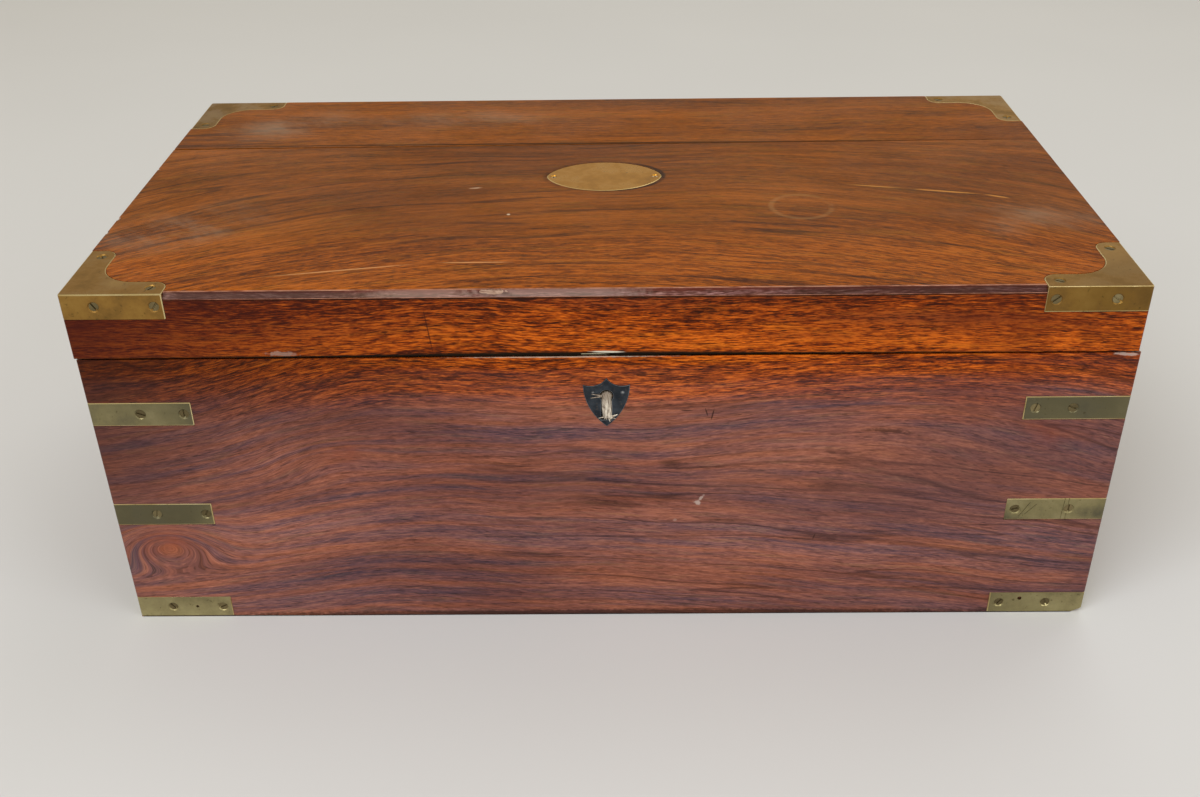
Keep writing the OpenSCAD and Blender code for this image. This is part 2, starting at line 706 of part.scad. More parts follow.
flap_drop = 0.3;                          // below its own side's seam face
flap_mid = half_gap + flap_drop + flap_t / 2;
flap_half = in_w - flap_clear;
pin_in = 8;                               // flap pin in the flap
pin_deep = 6;                             // its hole in the side board
pin_short = 0.4;                          // and its end short of the hole's
flap_rest = 0.3;                          // between a flap and its ledges
nose_room = 14;                           // ledges end short of the flap's nose
// Distance of the pivot from the hinge pins, and of the free edge, along the
// seam. The first is for the base (up = false), the second for the lid.
function pivot_u(up) = (axis_y - in_d + (up ? 1 : -1) * flap_mid * sin(slope)
    + flap_t / 2 + flap_clear) / cos(slope);
function edge_u(up) = up ? seam_u(-in_d, half_gap + flap_drop) - flap_clear / cos(slope)
    : seam_u(well_front, -half_gap - flap_drop - flap_t) - flap_clear / cos(slope);

module flap_pin_hole(up) on_seam()
    translate([0, -pivot_u(up), (up ? 1 : -1) * flap_mid]) rotate([0, 90, 0])
    cylinder(r = flap_pin_r + run, h = 2 * pin_deep, center = true);
module leather_blank(up, grow) {
    u0 = pivot_u(up) + border_w;
    u1 = edge_u(up) - border_w;
    translate([-flap_half + border_w - grow, -u1 - grow, half_gap + flap_drop - 1])
        cube([2 * (flap_half - border_w + grow), u1 - u0 + 2 * grow, leather_t + 1 + grow]);
}
// Both flaps are drawn above the seam, and the base's is mirrored down
module flap_board(up) {
    u0 = pivot_u(up);
    u1 = edge_u(up);
    difference() {
        union() {
            translate([-flap_half, -u1, half_gap + flap_drop]) cube([2 * flap_half, u1 - u0, flap_t]);
            translate([0, -u0, flap_mid]) rotate([0, 90, 0])
                cylinder(r = flap_t / 2, h = 2 * flap_half, center = true);
        }
        leather_blank(up, fit);
        translate([0, -u1, 0]) cylinder(r = notch_r, h = 4 * flap_t, center = true);
        for (s = [-1, 1]) translate([s * flap_half, -u0, flap_mid]) rotate([0, 90, 0])
            cylinder(r = flap_pin_r + fit / 2, h = 2 * pin_in + 0.1, center = true);
    }
}
module leather_panel(up) intersection() {
    leather_blank(up, 0);
    translate([-box_w, -2 * box_d, half_gap + flap_drop]) cube([2 * box_w, 4 * box_d, box_h]);
}
module flap_pins(up) for (s = [-1, 1])
    translate([s * (flap_half + (flap_clear + pin_deep - pin_short - pin_in) / 2), -pivot_u(up), flap_mid])
    rotate([0, 90, 0])
    cylinder(r = flap_pin_r, h = pin_in + flap_clear + pin_deep - pin_short, center = true);
module down() on_seam() mirror([0, 0, 1]) children();

module base_flap() color(rosewood) down() flap_board(false);
module base_flap_leather() color(leather) down() leather_panel(false);
module base_flap_pins() color(gilt_brass) down() flap_pins(false);
module lid_flap() color(rosewood) in_lid() on_seam() flap_board(true);
module lid_flap_leather() color(leather) in_lid() on_seam() leather_panel(true);
module lid_flap_pins() color(gilt_brass) in_lid() on_seam() flap_pins(true);

// Ledges run along three sides of a well, under a flap, with room for a finger
module ledges(up, y_front) {
    top = half_gap + flap_drop + flap_t + flap_rest;
    intersection() {
        if (up) on_seam() ledge_slab(top);
        if (!up) down() ledge_slab(top);
        difference() {
            translate([-in_w, y_front, 0]) cube([2 * in_w, in_d - nose_room - y_front, top_under]);
            translate([-in_w + ledge_w, y_front + ledge_w, -1])
                cube([2 * (in_w - ledge_w), box_d, box_h + 2]);
            translate([-notch_r - 3, y_front - 1, -1]) cube([2 * notch_r + 6, 4 * ledge_w, box_h + 2]);
        }
    }
}
module ledge_slab(top) translate([-box_w, -2 * box_d, top]) cube([2 * box_w, 4 * box_d, ledge_h]);
module base_flap_ledges() color(lining) ledges(false, well_front);
module lid_flap_ledges() color(lining) in_lid() ledges(true, -in_d);

// Lid

// Splinter lost from the front board's lower edge, which bares the link plate
module seam_chip() translate([chip_x, -box_d / 2 + link_edge + fit, seam_z(-box_d / 2)
    + half_gap / cos(slope)]) rotate([90, 0, 0]) linear_extrude(2 * wall_t)
    polygon([[-chip_w / 2, -2], [chip_w / 2, -2], [chip_w / 2, 0.3], [0, 0.9],
        [-chip_w / 2 + 1.5, chip_h], [-chip_w / 2, chip_h - 0.4]]);
chip_x = -3.5;
chip_w = 16.5;
chip_h = 1.5;
module lid_front() color(rosewood) difference() {
    lid_board("front");
    in_lid() for (sx = [-1, 1]) corner_cut(sx, -1);
    on_seam() link_blank(true, fit);
    on_seam() translate([0, 0, -link_t]) link_blank(true, fit);
    seam_chip();
    on_seam() each_link_screw(half_gap) rotate([180, 0, 0]) screw_hole(link_head_r);
}
module lid_back() color(rosewood) difference() {
    lid_board("back");
    in_lid() for (sx = [-1, 1]) corner_cut(sx, 1);
    in_lid() for (sx = [-1, 1]) strap_cut(sx, 1, 2);
    for (sx = [-1, 1]) hinge_cut(sx, 1);
}
module lid_side(sx) color(rosewood) difference() {
    lid_board(sx < 0 ? "left" : "right");
    in_lid() for (sy = [-1, 1]) corner_cut(sx, sy);
    in_lid() strap_cut(sx, 1, 2);
    in_lid() translate([sx * in_w, 0, 0]) flap_pin_hole(true);
}

// The two boards of the lid top part along an old glue joint that has opened
module board_outline(part) {
    yl = -box_d / 2 + joint_left;
    yr = -box_d / 2 + joint_right;
    if (part == "front") polygon([[-box_w, -box_d], [box_w, -box_d],
        [box_w / 2, yr - joint_open_right / 2], [-box_w / 2, yl - joint_open_left / 2],
        [-box_w, yl - joint_open_left / 2]]);
    if (part == "back") polygon([[-box_w, box_d], [box_w, box_d],
        [box_w / 2, yr + joint_open_right / 2], [-box_w / 2, yl + joint_open_left / 2],
        [-box_w, yl + joint_open_left / 2]]);
}
module top_board(part) difference() {
    intersection() {
        linear_extrude(box_h) board_outline(part);
        union() {
            translate([0, 0, wall_top]) linear_extrude(top_lip_t)
                rounded_rect(box_w, box_d, edge_r);
            translate([-in_w + fit, -in_d + fit, top_under])
                cube([2 * (in_w - fit), 2 * (in_d - fit), top_t - top_lip_t / 2]);
        }
    }
    for (sx = [-1, 1]) corner_cut(sx, part == "front" ? -1 : 1);
}
module lid_top_front_board() color(rosewood) in_lid() difference() {
    top_board("front");
    // Bevel worn along the front edge, between the corner brasses
    translate([-box_w / 2 + corner_len, -box_d / 2, box_h]) rotate([90, 0, 90])
        linear_extrude(box_w - 2 * corner_len)
        polygon([[-1, -front_bevel - 1], [-1, 1], [front_bevel + 1, 1]]);
    translate([0, plate_y, box_h - plate_t - fit]) linear_extrude(plate_t + 1) plate_2d(fit);
    each_plate_screw() screw_hole(plate_head_r, top_t - 2.5, plate_shank_r);
}
module lid_top_back_board() color(rosewood) in_lid() top_board("back");

// Corner brass: a flat with two round-ended arms and a hollow between them,
// and a flange down each face

module corner_2d(grow) {
    a = corner_arm + grow;
    far = corner_len + grow;
    r = corner_end_r;
    h = corner_hollow_r;
    for (m = [0, 1]) rotate([0, 0, m * 90]) mirror([0, m, 0]) {
        square([far - r, a]);
        square([far, a - r]);
        translate([far - r, a - r]) circle(r);
    }
    difference() {
        square(a + h);
        translate([a + h, a + h]) circle(h);
    }
}
top_screw_in = 7;
flange_screws = [15.5, corner_len - 4.6];
flange_screw_z = box_h - corner_flange / 2;
module each_corner_screw(sx, sy) at_corner(sx, sy) {
    translate([corner_len - top_screw_in, top_screw_in, box_h]) children();
    translate([top_screw_in, corner_len - top_screw_in, box_h]) children();
    for (s = flange_screws) {
        translate([s, 0, flange_screw_z]) face_y() children();
        translate([0, s, flange_screw_z]) face_x() children();
    }
}
module lid_corner(sx, sy) color(brass) in_lid() difference() {
    intersection() {
        at_corner(sx, sy) {
            translate([0, 0, box_h - brass_t]) linear_extrude(brass_t) corner_2d(0);
            translate([0, 0, box_h - corner_flange]) {
                cube([corner_len, brass_t, corner_flange]);
                cube([brass_t, corner_len, corner_flange]);
            }
        }
        outer_box();
    }
    each_corner_screw(sx, sy) screw_hole();
}
module corner_cut(sx, sy) {
    at_corner(sx, sy) {
        translate([0, 0, box_h - brass_t - fit]) linear_extrude(brass_t + 1) corner_2d(fit);
        translate([-1, -1, box_h - corner_flange - fit]) {
            cube([corner_len + 1 + fit, brass_t + 1 + fit, corner_flange + 1]);
            cube([brass_t + 1 + fit, corner_len + 1 + fit, corner_flange + 1]);
        }
    }
    each_corner_screw(sx, sy) screw_hole();
}

// Oval plate: its outline lies midway between an ellipse and two arcs that
// meet in points

plate_y = -box_d / 2 + plate_back;
plate_r = (plate_len * plate_len + plate_w * plate_w) / (4 * plate_w);
plate_screw_x = plate_len / 2 - 3.8;
plate_shank_r = 0.8;
function plate_half(x) = let (a = plate_len / 2, b = plate_w / 2)
    (b * sqrt(max(0, 1 - x * x / (a * a)))
    + sqrt(plate_r * plate_r - x * x) - (plate_r - b)) / 2;
module plate_2d(grow) {
    n = 36;
    k = 1 + 2 * grow / plate_w;
    upper = [for (i = [0:n]) let (x = -cos(180 * i / n) * plate_len / 2) [k * x, k * plate_half(x)]];
    lower = [for (i = [1:n - 1]) [upper[n - i][0], -upper[n - i][1]]];
    polygon(concat(upper, lower));
}
module each_plate_screw() for (s = [-1, 1])
    translate([s * plate_screw_x, plate_y, box_h]) children();
module name_plate() color(gilt_brass) in_lid() difference() {
    translate([0, plate_y, box_h - plate_t]) linear_extrude(plate_t) plate_2d(0);
    each_plate_screw() screw_hole(plate_head_r, top_t - 2.5, plate_shank_r);
}
module name_plate_screws() color(gilt_brass) in_lid() each_plate_screw()
    screw(plate_head_r, 35, top_t - 3, plate_shank_r);

// Screws, one node for each body

module base_screws() color(brass) {
    for (sx = [-1, 1]) {
        for (level = [0:2]) each_strap_screw(sx, -1, level) screw(turn = 40 * level + 25);
        for (level = [0:1]) each_strap_screw(sx, 1, level) screw(turn = 55 * level);
        at_hinge(sx) each_leaf_screw() screw(turn = 20);
        on_side(sx) each_handle_screw() screw(turn = 10);
    }
    on_seam() each_link_screw(-half_gap) screw(link_head_r);
}
module lid_screws() color(brass) {
    in_lid() for (sx = [-1, 1]) {
        for (sy = [-1, 1]) each_corner_screw(sx, sy) screw(turn = 30 + 20 * sy);
        each_strap_screw(sx, 1, 2) screw(turn = 70);
    }
    for (sx = [-1, 1]) at_hinge(sx) mirror([0, 0, 1]) each_leaf_screw() screw(turn = 65);
    on_seam() each_link_screw(half_gap) rotate([180, 0, 0]) screw(link_head_r);
}
module hinge_pins() color(brass) for (sx = [-1, 1]) at_hinge(sx) rotate([0, 90, 0])
    cylinder(r = pin_r, h = hinge_len - knuckle_gap, center = true);

base_front();
base_back();
base_side(-1);  // base_left
base_side(1);  // base_right
base_bottom();
well_partition();
compartment_floor();
ink_dividers();
base_flap_ledges();
pen_tray();
inkwells();
inkwell_collars();
lock_case();
lock_face_plate();
lock_bolt();
escutcheon();
escutcheon_pins();
strap(-1, -1, 0);  // strap_front_left_bottom
strap(-1, -1, 1);  // strap_front_left_middle
strap(-1, -1, 2);  // strap_front_left_top
strap(1, -1, 0);  // strap_front_right_bottom
strap(1, -1, 1);  // strap_front_right_middle
strap(1, -1, 2);  // strap_front_right_top
for (level = [0:1]) strap(-1, 1, level);  // straps_back_left
for (level = [0:1]) strap(1, 1, level);  // straps_back_right
base_screws();
leaf(-1, 0);  // base_hinge_leaf_left
leaf(1, 0);  // base_hinge_leaf_right
hinge_pins();
handle_plate(-1);  // handle_plate_left
handle_plate(1);  // handle_plate_right
bail(-1);  // bail_left
bail(1);  // bail_right
base_flap();
base_flap_leather();
base_flap_pins();
inkwell_cap(-1);  // inkwell_cap_left
inkwell_cap(1);  // inkwell_cap_right
lid_front();
lid_back();
lid_side(-1);  // lid_left
lid_side(1);  // lid_right
lid_top_front_board();
lid_top_back_board();
lid_corner(-1, -1);  // lid_corner_front_left
lid_corner(1, -1);  // lid_corner_front_right
lid_corner(-1, 1);  // lid_corner_back_left
lid_corner(1, 1);  // lid_corner_back_right
in_lid() strap(-1, 1, 2);  // lid_strap_left
in_lid() strap(1, 1, 2);  // lid_strap_right
lid_screws();
leaf(-1, 1);  // lid_hinge_leaf_left
leaf(1, 1);  // lid_hinge_leaf_right
name_plate();
name_plate_screws();
link_plate();
lid_flap_ledges();
lid_flap();
lid_flap_leather();
lid_flap_pins();
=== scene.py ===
"""Brass-bound rosewood writing box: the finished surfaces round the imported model.

Metres, in the frame of the model: the front faces -Y, +Z is up, and the origin is
the middle of the underside. The lid turns about the hinge pins at the back.
"""

import functools
import json
import math
import random

import bmesh
import bpy
from mathutils import Matrix, Vector

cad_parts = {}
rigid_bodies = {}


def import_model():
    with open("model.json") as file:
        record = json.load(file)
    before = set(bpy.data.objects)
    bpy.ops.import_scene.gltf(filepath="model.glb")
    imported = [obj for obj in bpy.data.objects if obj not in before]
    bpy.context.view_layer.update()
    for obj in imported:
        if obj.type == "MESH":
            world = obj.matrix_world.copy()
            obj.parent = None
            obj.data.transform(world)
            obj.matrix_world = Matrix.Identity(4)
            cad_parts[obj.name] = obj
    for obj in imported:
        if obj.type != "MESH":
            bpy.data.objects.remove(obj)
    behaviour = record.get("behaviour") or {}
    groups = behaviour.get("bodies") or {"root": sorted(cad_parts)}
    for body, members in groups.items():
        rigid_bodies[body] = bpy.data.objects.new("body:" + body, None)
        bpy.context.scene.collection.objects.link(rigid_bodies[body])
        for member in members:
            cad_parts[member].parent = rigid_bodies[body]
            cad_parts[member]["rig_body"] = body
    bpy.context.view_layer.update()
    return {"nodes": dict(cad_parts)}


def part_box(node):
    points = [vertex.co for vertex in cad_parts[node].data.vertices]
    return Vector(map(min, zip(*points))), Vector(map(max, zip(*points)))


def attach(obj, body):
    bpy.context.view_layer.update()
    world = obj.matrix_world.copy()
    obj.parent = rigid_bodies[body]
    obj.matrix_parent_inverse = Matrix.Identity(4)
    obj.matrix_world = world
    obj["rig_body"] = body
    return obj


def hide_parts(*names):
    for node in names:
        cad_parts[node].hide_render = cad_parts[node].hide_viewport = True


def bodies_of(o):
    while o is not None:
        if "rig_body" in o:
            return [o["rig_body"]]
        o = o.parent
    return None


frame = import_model()

MM = 0.001
MERGED = 0.002 * MM  # Points of one node that lie closer are one point


# Places that the model gives

def middle(node):
    """Middle of a node's box at rest."""
    low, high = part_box(node)
    return (Vector(low) + Vector(high)) / 2


def corner(node, side):
    """Lowest (side 0) or highest (side 1) corner of a node's box at rest."""
    return Vector(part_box(node)[side])


# The seam slopes down from its height at the front to the pins at the back
PIN = middle("hinge_pins")
FRONT_Y = corner("base_front", 0).y
BACK_Y = corner("base_back", 1).y
HALF_W = corner("base_front", 1).x
TOP_Z = corner("lid_top_front_board", 1).z
SEAM_Z = (corner("base_front", 1).z + corner("lid_front", 0).z) / 2
JOINT_Y = corner("lid_top_front_board", 1).y
LID_X = middle("lid_top_front_board").x
SLOPE = math.atan2(SEAM_Z - PIN.z, PIN.y - FRONT_Y)
# Half the width inside, and the thickness of the walls
IN_W = corner("well_partition", 1).x
WALL = HALF_W - IN_W
SEAM_GAP = 0.8 * MM  # Between the base and the lid
BEVEL = 2.8 * MM  # Along the front edge of the lid


def seam_place(point):
    """A point in the seam's own frame: X, the distance forward of the pins, and the height."""
    return Matrix.Rotation(SLOPE, 3, "X") @ (Vector(point) - PIN)


# Nodes

def linear(colour):
    """Linear RGBA of an sRGB hex colour."""
    parts = [int(colour[i:i + 2], 16) / 255 for i in (1, 3, 5)]
    return [p / 12.92 if p <= 0.04045 else ((p + 0.055) / 1.055) ** 2.4 for p in parts] + [1]


def add_node(tree, kind, *values, named=None, output=None, stops=(), **settings):
    """Adds one node with its settings and links, and gives the output asked for, or the first
    that is in use. Values go in order to the inputs in use, and the others by name: numbers,
    vectors, hex colours and outputs of other nodes. Stops are a ramp's places and colours."""
    node = tree.nodes.new("ShaderNode" + kind)
    for key, value in settings.items():
        setattr(node, key, value)
    pairs = list(zip([socket for socket in node.inputs if socket.enabled], values))
    pairs += [(node.inputs[name], value) for name, value in (named or {}).items()]
    for socket, value in pairs:
        if isinstance(value, bpy.types.NodeSocket):
            tree.links.new(value, socket)
        else:
            socket.default_value = linear(value) if isinstance(value, str) else value
    if stops:
        ramp = node.color_ramp
        while len(ramp.elements) < len(stops):
            ramp.elements.new(0.5)
        for element, (place, colour) in zip(ramp.elements, stops):
            element.position = place
            element.color = linear(colour)
    if output:
        return node.outputs[output]
    return next((socket for socket in node.outputs if socket.enabled), None)


def new_material(name):
    """An empty material, the call that adds a node to it, and its object coordinates."""
    material = bpy.data.materials.new(name)
    material.use_nodes = True
    material.node_tree.nodes.clear()
    add = functools.partial(add_node, material.node_tree)
    return material, add, add("TexCoord", output="Object")


def surfaced(material, add, inputs):
    """The material with its surface, whose inputs are values or outputs of nodes."""
    add("OutputMaterial", add("BsdfPrincipled", named=inputs))
    return material


# Patterns

def pattern(add, place, waves, detail=3.0, roughness=0.55, seed=0.0):
    """Grain, clouds or specks, with a count of waves per metre along X, Y and Z: 1000 for waves
    1 mm long. Detail adds finer noise, as strong as the roughness."""
    stretched = add("Mapping", place, (seed, seed * 0.7, seed * 0.3), (0, 0, 0), waves)
    return add("TexNoise", stretched, 1.0, detail, roughness)


def distance(add, place, centre, size, turn=(0, 0, 0)):
    """How far a place is from a centre, where the size of each axis counts as 1."""
    moved = add("Mapping", place, centre, turn, size, vector_type="TEXTURE")
    return add("VectorMath", moved, operation="LENGTH")


def patch(add, place, centre, size, turn=(0, 0, 0), ragged=0.5, waves=60.0, soft=0.55):
    """Mask of a soft ellipsoid round a point, in metres, its edge broken up by noise."""
    away = distance(add, place, centre, size, turn)
    if ragged:
        broken = add("Math", pattern(add, place, (waves, waves, waves)), 0.5, operation="SUBTRACT")
        away = add("Math", broken, ragged * 2, away, operation="MULTIPLY_ADD")
    return add("MapRange", away, 1.0, 1.0 - soft, interpolation_type="SMOOTHSTEP")


# Woods

def bent_grain(add, place, axes, seed, arch, knots, eyes):
    """Coordinates along, across and into the grain, which a wide arch, slow waves and swirls
    round knots have bent. Also gives the height across the board, and the slow noise."""
    along, cross, depth = (add("SeparateXYZ", place, output=axis) for axis in axes)
    arch_middle, bend, fade = arch
    from_middle = add("Math", along, arch_middle, operation="SUBTRACT")
    square = add("Math", from_middle, from_middle, operation="MULTIPLY")
    sag = add("Math", square, bend, operation="MULTIPLY")
    if fade:
        strength = add("MapRange", cross, *fade, interpolation_type="SMOOTHSTEP")
        sag = add("Math", sag, strength, operation="MULTIPLY")
    wave_height = 26 * MM
    slow = pattern(add, place, (5, 5, 5), 2.0, 0.5, seed)
    wave = add("Math", slow, 0.5, operation="SUBTRACT")
    bent = add("Math", cross, sag, operation="ADD")
    bent = add("Math", wave, wave_height, bent, operation="MULTIPLY_ADD")
    for centre, size, lift in knots:
        swirl = patch(add, place, centre, size, ragged=0, soft=1.0)
        bent = add("Math", swirl, lift, bent, operation="MULTIPLY_ADD")
    for centre, size in eyes:
        # The rings are 1.7 times as long as they are high, and half drawn round the knot
        ring = distance(add, place, centre, (1.7, 1.0, 1.0))
        near = add("Math", patch(add, place, centre, size, ragged=0, soft=1.0), 0.5, operation="MULTIPLY")
        pull = add("Math", ring, bent, operation="SUBTRACT")
        bent = add("Math", near, pull, bent, operation="MULTIPLY_ADD")
    return add("CombineXYZ", along, bent, depth), cross, slow


def marked(add, place, axes, seed, wood, rough, marks, rings):
    """The wood's colour and roughness with its marks on it: marks of use, and painted shade, shadow, sheen
    and highlights.
    A mark is (centre, size, turn, colour, strength, raggedness). A wide ragged one is broken up by
    clouds, as if wiped. A ring is (centre, radii, width, colour, strength)."""
    across, out = "XYZ".index(axes[1]), "XYZ".index(axes[2])
    slanted = add("Mapping", place, (0, 0, 0), (0, 0, 0.7))
    clouds = pattern(add, slanted, (16, 34, 30), 5.0, 0.7, seed + 6)
    for centre, size, turn, colour, strength, ragged in marks:
        tilt = [0, 0, 0]
        tilt[out] = turn
        wide = min(size[0], size[across]) > 10 * MM
        mask = patch(add, place, centre, size, tilt, ragged, 60 if wide else 400, 1.0 if wide else 0.55)
        if wide and ragged:
            wiped = add("MapRange", clouds, 0.36, 0.68, interpolation_type="SMOOTHSTEP")
            mask = add("Math", mask, wiped, operation="MULTIPLY")
        cover = add("Math", mask, strength, operation="MULTIPLY")
        wood = add("Mix", cover, wood, colour, data_type="RGBA")
        rough = add("Math", mask, 0.22 * strength, rough, operation="MULTIPLY_ADD")
    for centre, radii, width, colour, strength in rings:
        away = distance(add, place, centre, (*radii, 4 * MM))
        off = add("Math", add("Math", away, 1.0, operation="SUBTRACT"), operation="ABSOLUTE")
        edge = width / radii[0]
        line = add("MapRange", off, edge, 0.2 * edge, interpolation_type="SMOOTHSTEP")
        broken = add("MapRange", clouds, 0.3, 0.55, interpolation_type="SMOOTHSTEP")
        mask = add("Math", line, broken, operation="MULTIPLY")
        cover = add("Math", mask, strength, operation="MULTIPLY")
        wood = add("Mix", cover, wood, colour, data_type="RGBA")
    return wood, rough


def rosewood(name, axes="XZY", seed=0.0, tones=("#2c1314", "#5c2a1c", "#8f4a1e"), contrast=1.0,
             arch=(0.0, 0.0, None), knots=(), eyes=(), warm=None, streaks=("#5c4650", "#a0603f", 0.0),
             zones=0.0, pored=0.6, marks=(), rings=(), rub=0.0, gloss=0.33, shine=0.15):
    """Solid Indian rosewood, planed, oiled and French polished: dark purple-brown lines on a
    red-brown ground, open pores as short dark dashes along the grain, and a soft old gloss.
    axes are those along the grain, across it on the face, and into the wood.
    arch is the middle, the bend per metre squared and the fade of the arched figure, knots are
    (centre, size, lift), and eyes (centre, size) are knots that the rings run round.
    warm is (from, to, strength, tones) of a band across the grain where the wood is warmer.
    streaks is (cool, hot, strength) of the slate and orange bands, zones how far the tone of
    the whole board wanders, pored how dark the pores are, and rub how pale the wood is worn."""
    material, add, place = new_material(name)
    grained, cross, slow = bent_grain(add, place, axes, seed, arch, knots, eyes)

    # Bands about 20 mm, lines about 2 mm and fibres under 1 mm wide, which set the tone together
    bands = pattern(add, grained, (3.2, 52, 52), 2.0, 0.5, seed + 3.1)
    lines = pattern(add, grained, (30, 430, 430), 3.0, 0.7, seed + 7.7)
    fibres = pattern(add, grained, (170, 1900, 1900), 2.0, 0.7, seed + 1.3)
    tone = add("Math", bands, 0.24, operation="MULTIPLY")
    tone = add("Math", lines, 0.27, tone, operation="MULTIPLY_ADD")
    tone = add("Math", fibres, 0.49, tone, operation="MULTIPLY_ADD")
    spread = 0.095 / contrast
    places = (0.5 - spread, 0.5, 0.5 + spread)
    wood = add("ValToRGB", tone, stops=list(zip(places, tones)))

    # Slate and orange streaks, 5 to 8 mm wide and as long as a hand
    streak = pattern(add, grained, (6, 150, 150), 3.0, 0.6, seed + 4.6)
    hue = add("ValToRGB", streak, stops=[(0.38, streaks[0]), (0.6, streaks[1])])
    wood = add("Mix", streaks[2], wood, hue, data_type="RGBA")
    if zones:
        wide_tone = pattern(add, place, (6, 15, 15), 2.0, 0.5, seed + 12)
        shade = add("ValToRGB", wide_tone, stops=[(0.36, "#a898a4"), (0.62, "#ffffff")])
        wood = add("Mix", zones, wood, shade, data_type="RGBA", blend_type="MULTIPLY")
    if warm:
        low, high, strength, warm_tones = warm
        ragged_edge = add("Math", bands, 0.5, operation="SUBTRACT")
        height = add("Math", ragged_edge, 60 * MM, cross, operation="MULTIPLY_ADD")
        glow = add("MapRange", height, low, high, 0.0, strength, interpolation_type="SMOOTHSTEP")
        warmer = add("ValToRGB", tone, stops=list(zip((0.425, 0.5, 0.575), warm_tones)))
        wood = add("Mix", glow, wood, warmer, data_type="RGBA")
        pored = add("Math", glow, 0.85 - pored, pored, operation="MULTIPLY_ADD")

    # The hue drifts from line to line: olive, purple, red and orange
    drift = pattern(add, grained, (30, 260, 260), 3.0, 0.6, seed + 8.4)
    hue = add("ValToRGB", drift, stops=[
        (0.36, "#a5b5a0"), (0.45, "#b89fb2"), (0.54, "#c6a6a2"), (0.64, "#d6b78e")])
    wood = add("Mix", 0.25, wood, hue, data_type="RGBA", blend_type="OVERLAY")

    # Ink lines: thin black streaks that come and go where the growth rings crowd
    growth = pattern(add, grained, (3.4, 70, 70), 2.0, 0.5, seed + 9.2)
    off_ring = add("Math", add("Math", growth, 0.5, operation="SUBTRACT"), operation="ABSOLUTE")
    line = add("MapRange", off_ring, 0.02, 0.004, interpolation_type="SMOOTHSTEP")
    crowd = add("MapRange", slow, 0.42, 0.56, 0.0, 0.5, interpolation_type="SMOOTHSTEP")
    wood = add("Mix", add("Math", line, crowd, operation="MULTIPLY"), wood, "#1c0c10", data_type="RGBA")

    # Open pores, 0.1 mm wide in the wood, drawn 0.4 mm wide and 2 mm long so that they show
    pores = pattern(add, grained, (200, 2100, 2100), 1.0, 0.5, seed + 5.5)
    pores = add("MapRange", pores, 0.55, 0.64, interpolation_type="SMOOTHSTEP")
    crowded = add("MapRange", lines, 0.62, 0.4, 0.45, 1.0, interpolation_type="SMOOTHSTEP")
    dark = add("Math", add("Math", pores, crowded, operation="MULTIPLY"), pored, operation="MULTIPLY")
    wood = add("Mix", dark, wood, "#190a08", data_type="RGBA")

    # The polish is duller in some places, and under marks of use
    rough = pattern(add, place, (14, 14, 14), 4.0, 0.6, seed)
    rough = add("MapRange", rough, 0.35, 0.7, gloss - 0.05, gloss + 0.12, interpolation_type="SMOOTHSTEP")
    wood, rough = marked(add, place, axes, seed, wood, rough, marks, rings)
    if rub:
        worn = pattern(add, place, (90, 90, 90), 3.0, 0.6, seed + 2)
        worn = add("MapRange", worn, 0.38, 0.62, 0.0, rub, interpolation_type="SMOOTHSTEP")
        wood = add("Mix", worn, wood, "#b0806a", data_type="RGBA")

    relief = add("Math", add("Math", fibres, 0.35, operation="MULTIPLY"), pores, operation="SUBTRACT")
    bump = add("Bump", named={"Height": relief, "Strength": 0.3, "Distance": 0.12 * MM})
    return surfaced(material, add, {
        "Base Color": wood, "Roughness": rough, "Normal": bump, "IOR": 1.5, "Specular IOR Level": shine,
        "Specular Tint": "#ffd8a0", "Coat Weight": 0.08, "Coat Roughness": 0.3})


def raw_wood():
    """Splintered rosewood where the polish has gone: dry, pale and fibrous."""
    material, add, place = new_material("rosewood_splintered")
    fibres = pattern(add, place, (90, 700, 700), 3.0, 0.7)
    colour = add("ValToRGB", fibres, stops=[(0.35, "#7a5544"), (0.6, "#b79c8c")])
    return surfaced(material, add, {"Base Color": colour, "Roughness": 0.75})


def torn_fibre():
    """Wood fibre torn up in the keyhole: dry and pale, and greyer towards its top."""
    material, add, place = new_material("wood_fibre_torn")
    strands = pattern(add, place, (1500, 900, 240), 3.0, 0.6)
    colour = add("ValToRGB", strands, stops=[(0.34, "#7d7065"), (0.5, "#c2b8aa"), (0.66, "#ece6da")])
    height = add("SeparateXYZ", place, output="Z")
    greyer_towards_top = add("MapRange", height, 0.1315, 0.136, 0.0, 0.65, interpolation_type="SMOOTHSTEP")
    colour = add("Mix", greyer_towards_top, colour, "#6d5b4e", data_type="RGBA")
    bump = add("Bump", named={"Height": strands, "Strength": 0.6, "Distance": 0.2 * MM})
    return surfaced(material, add, {"Base Color": colour, "Roughness": 0.85, "Normal": bump})


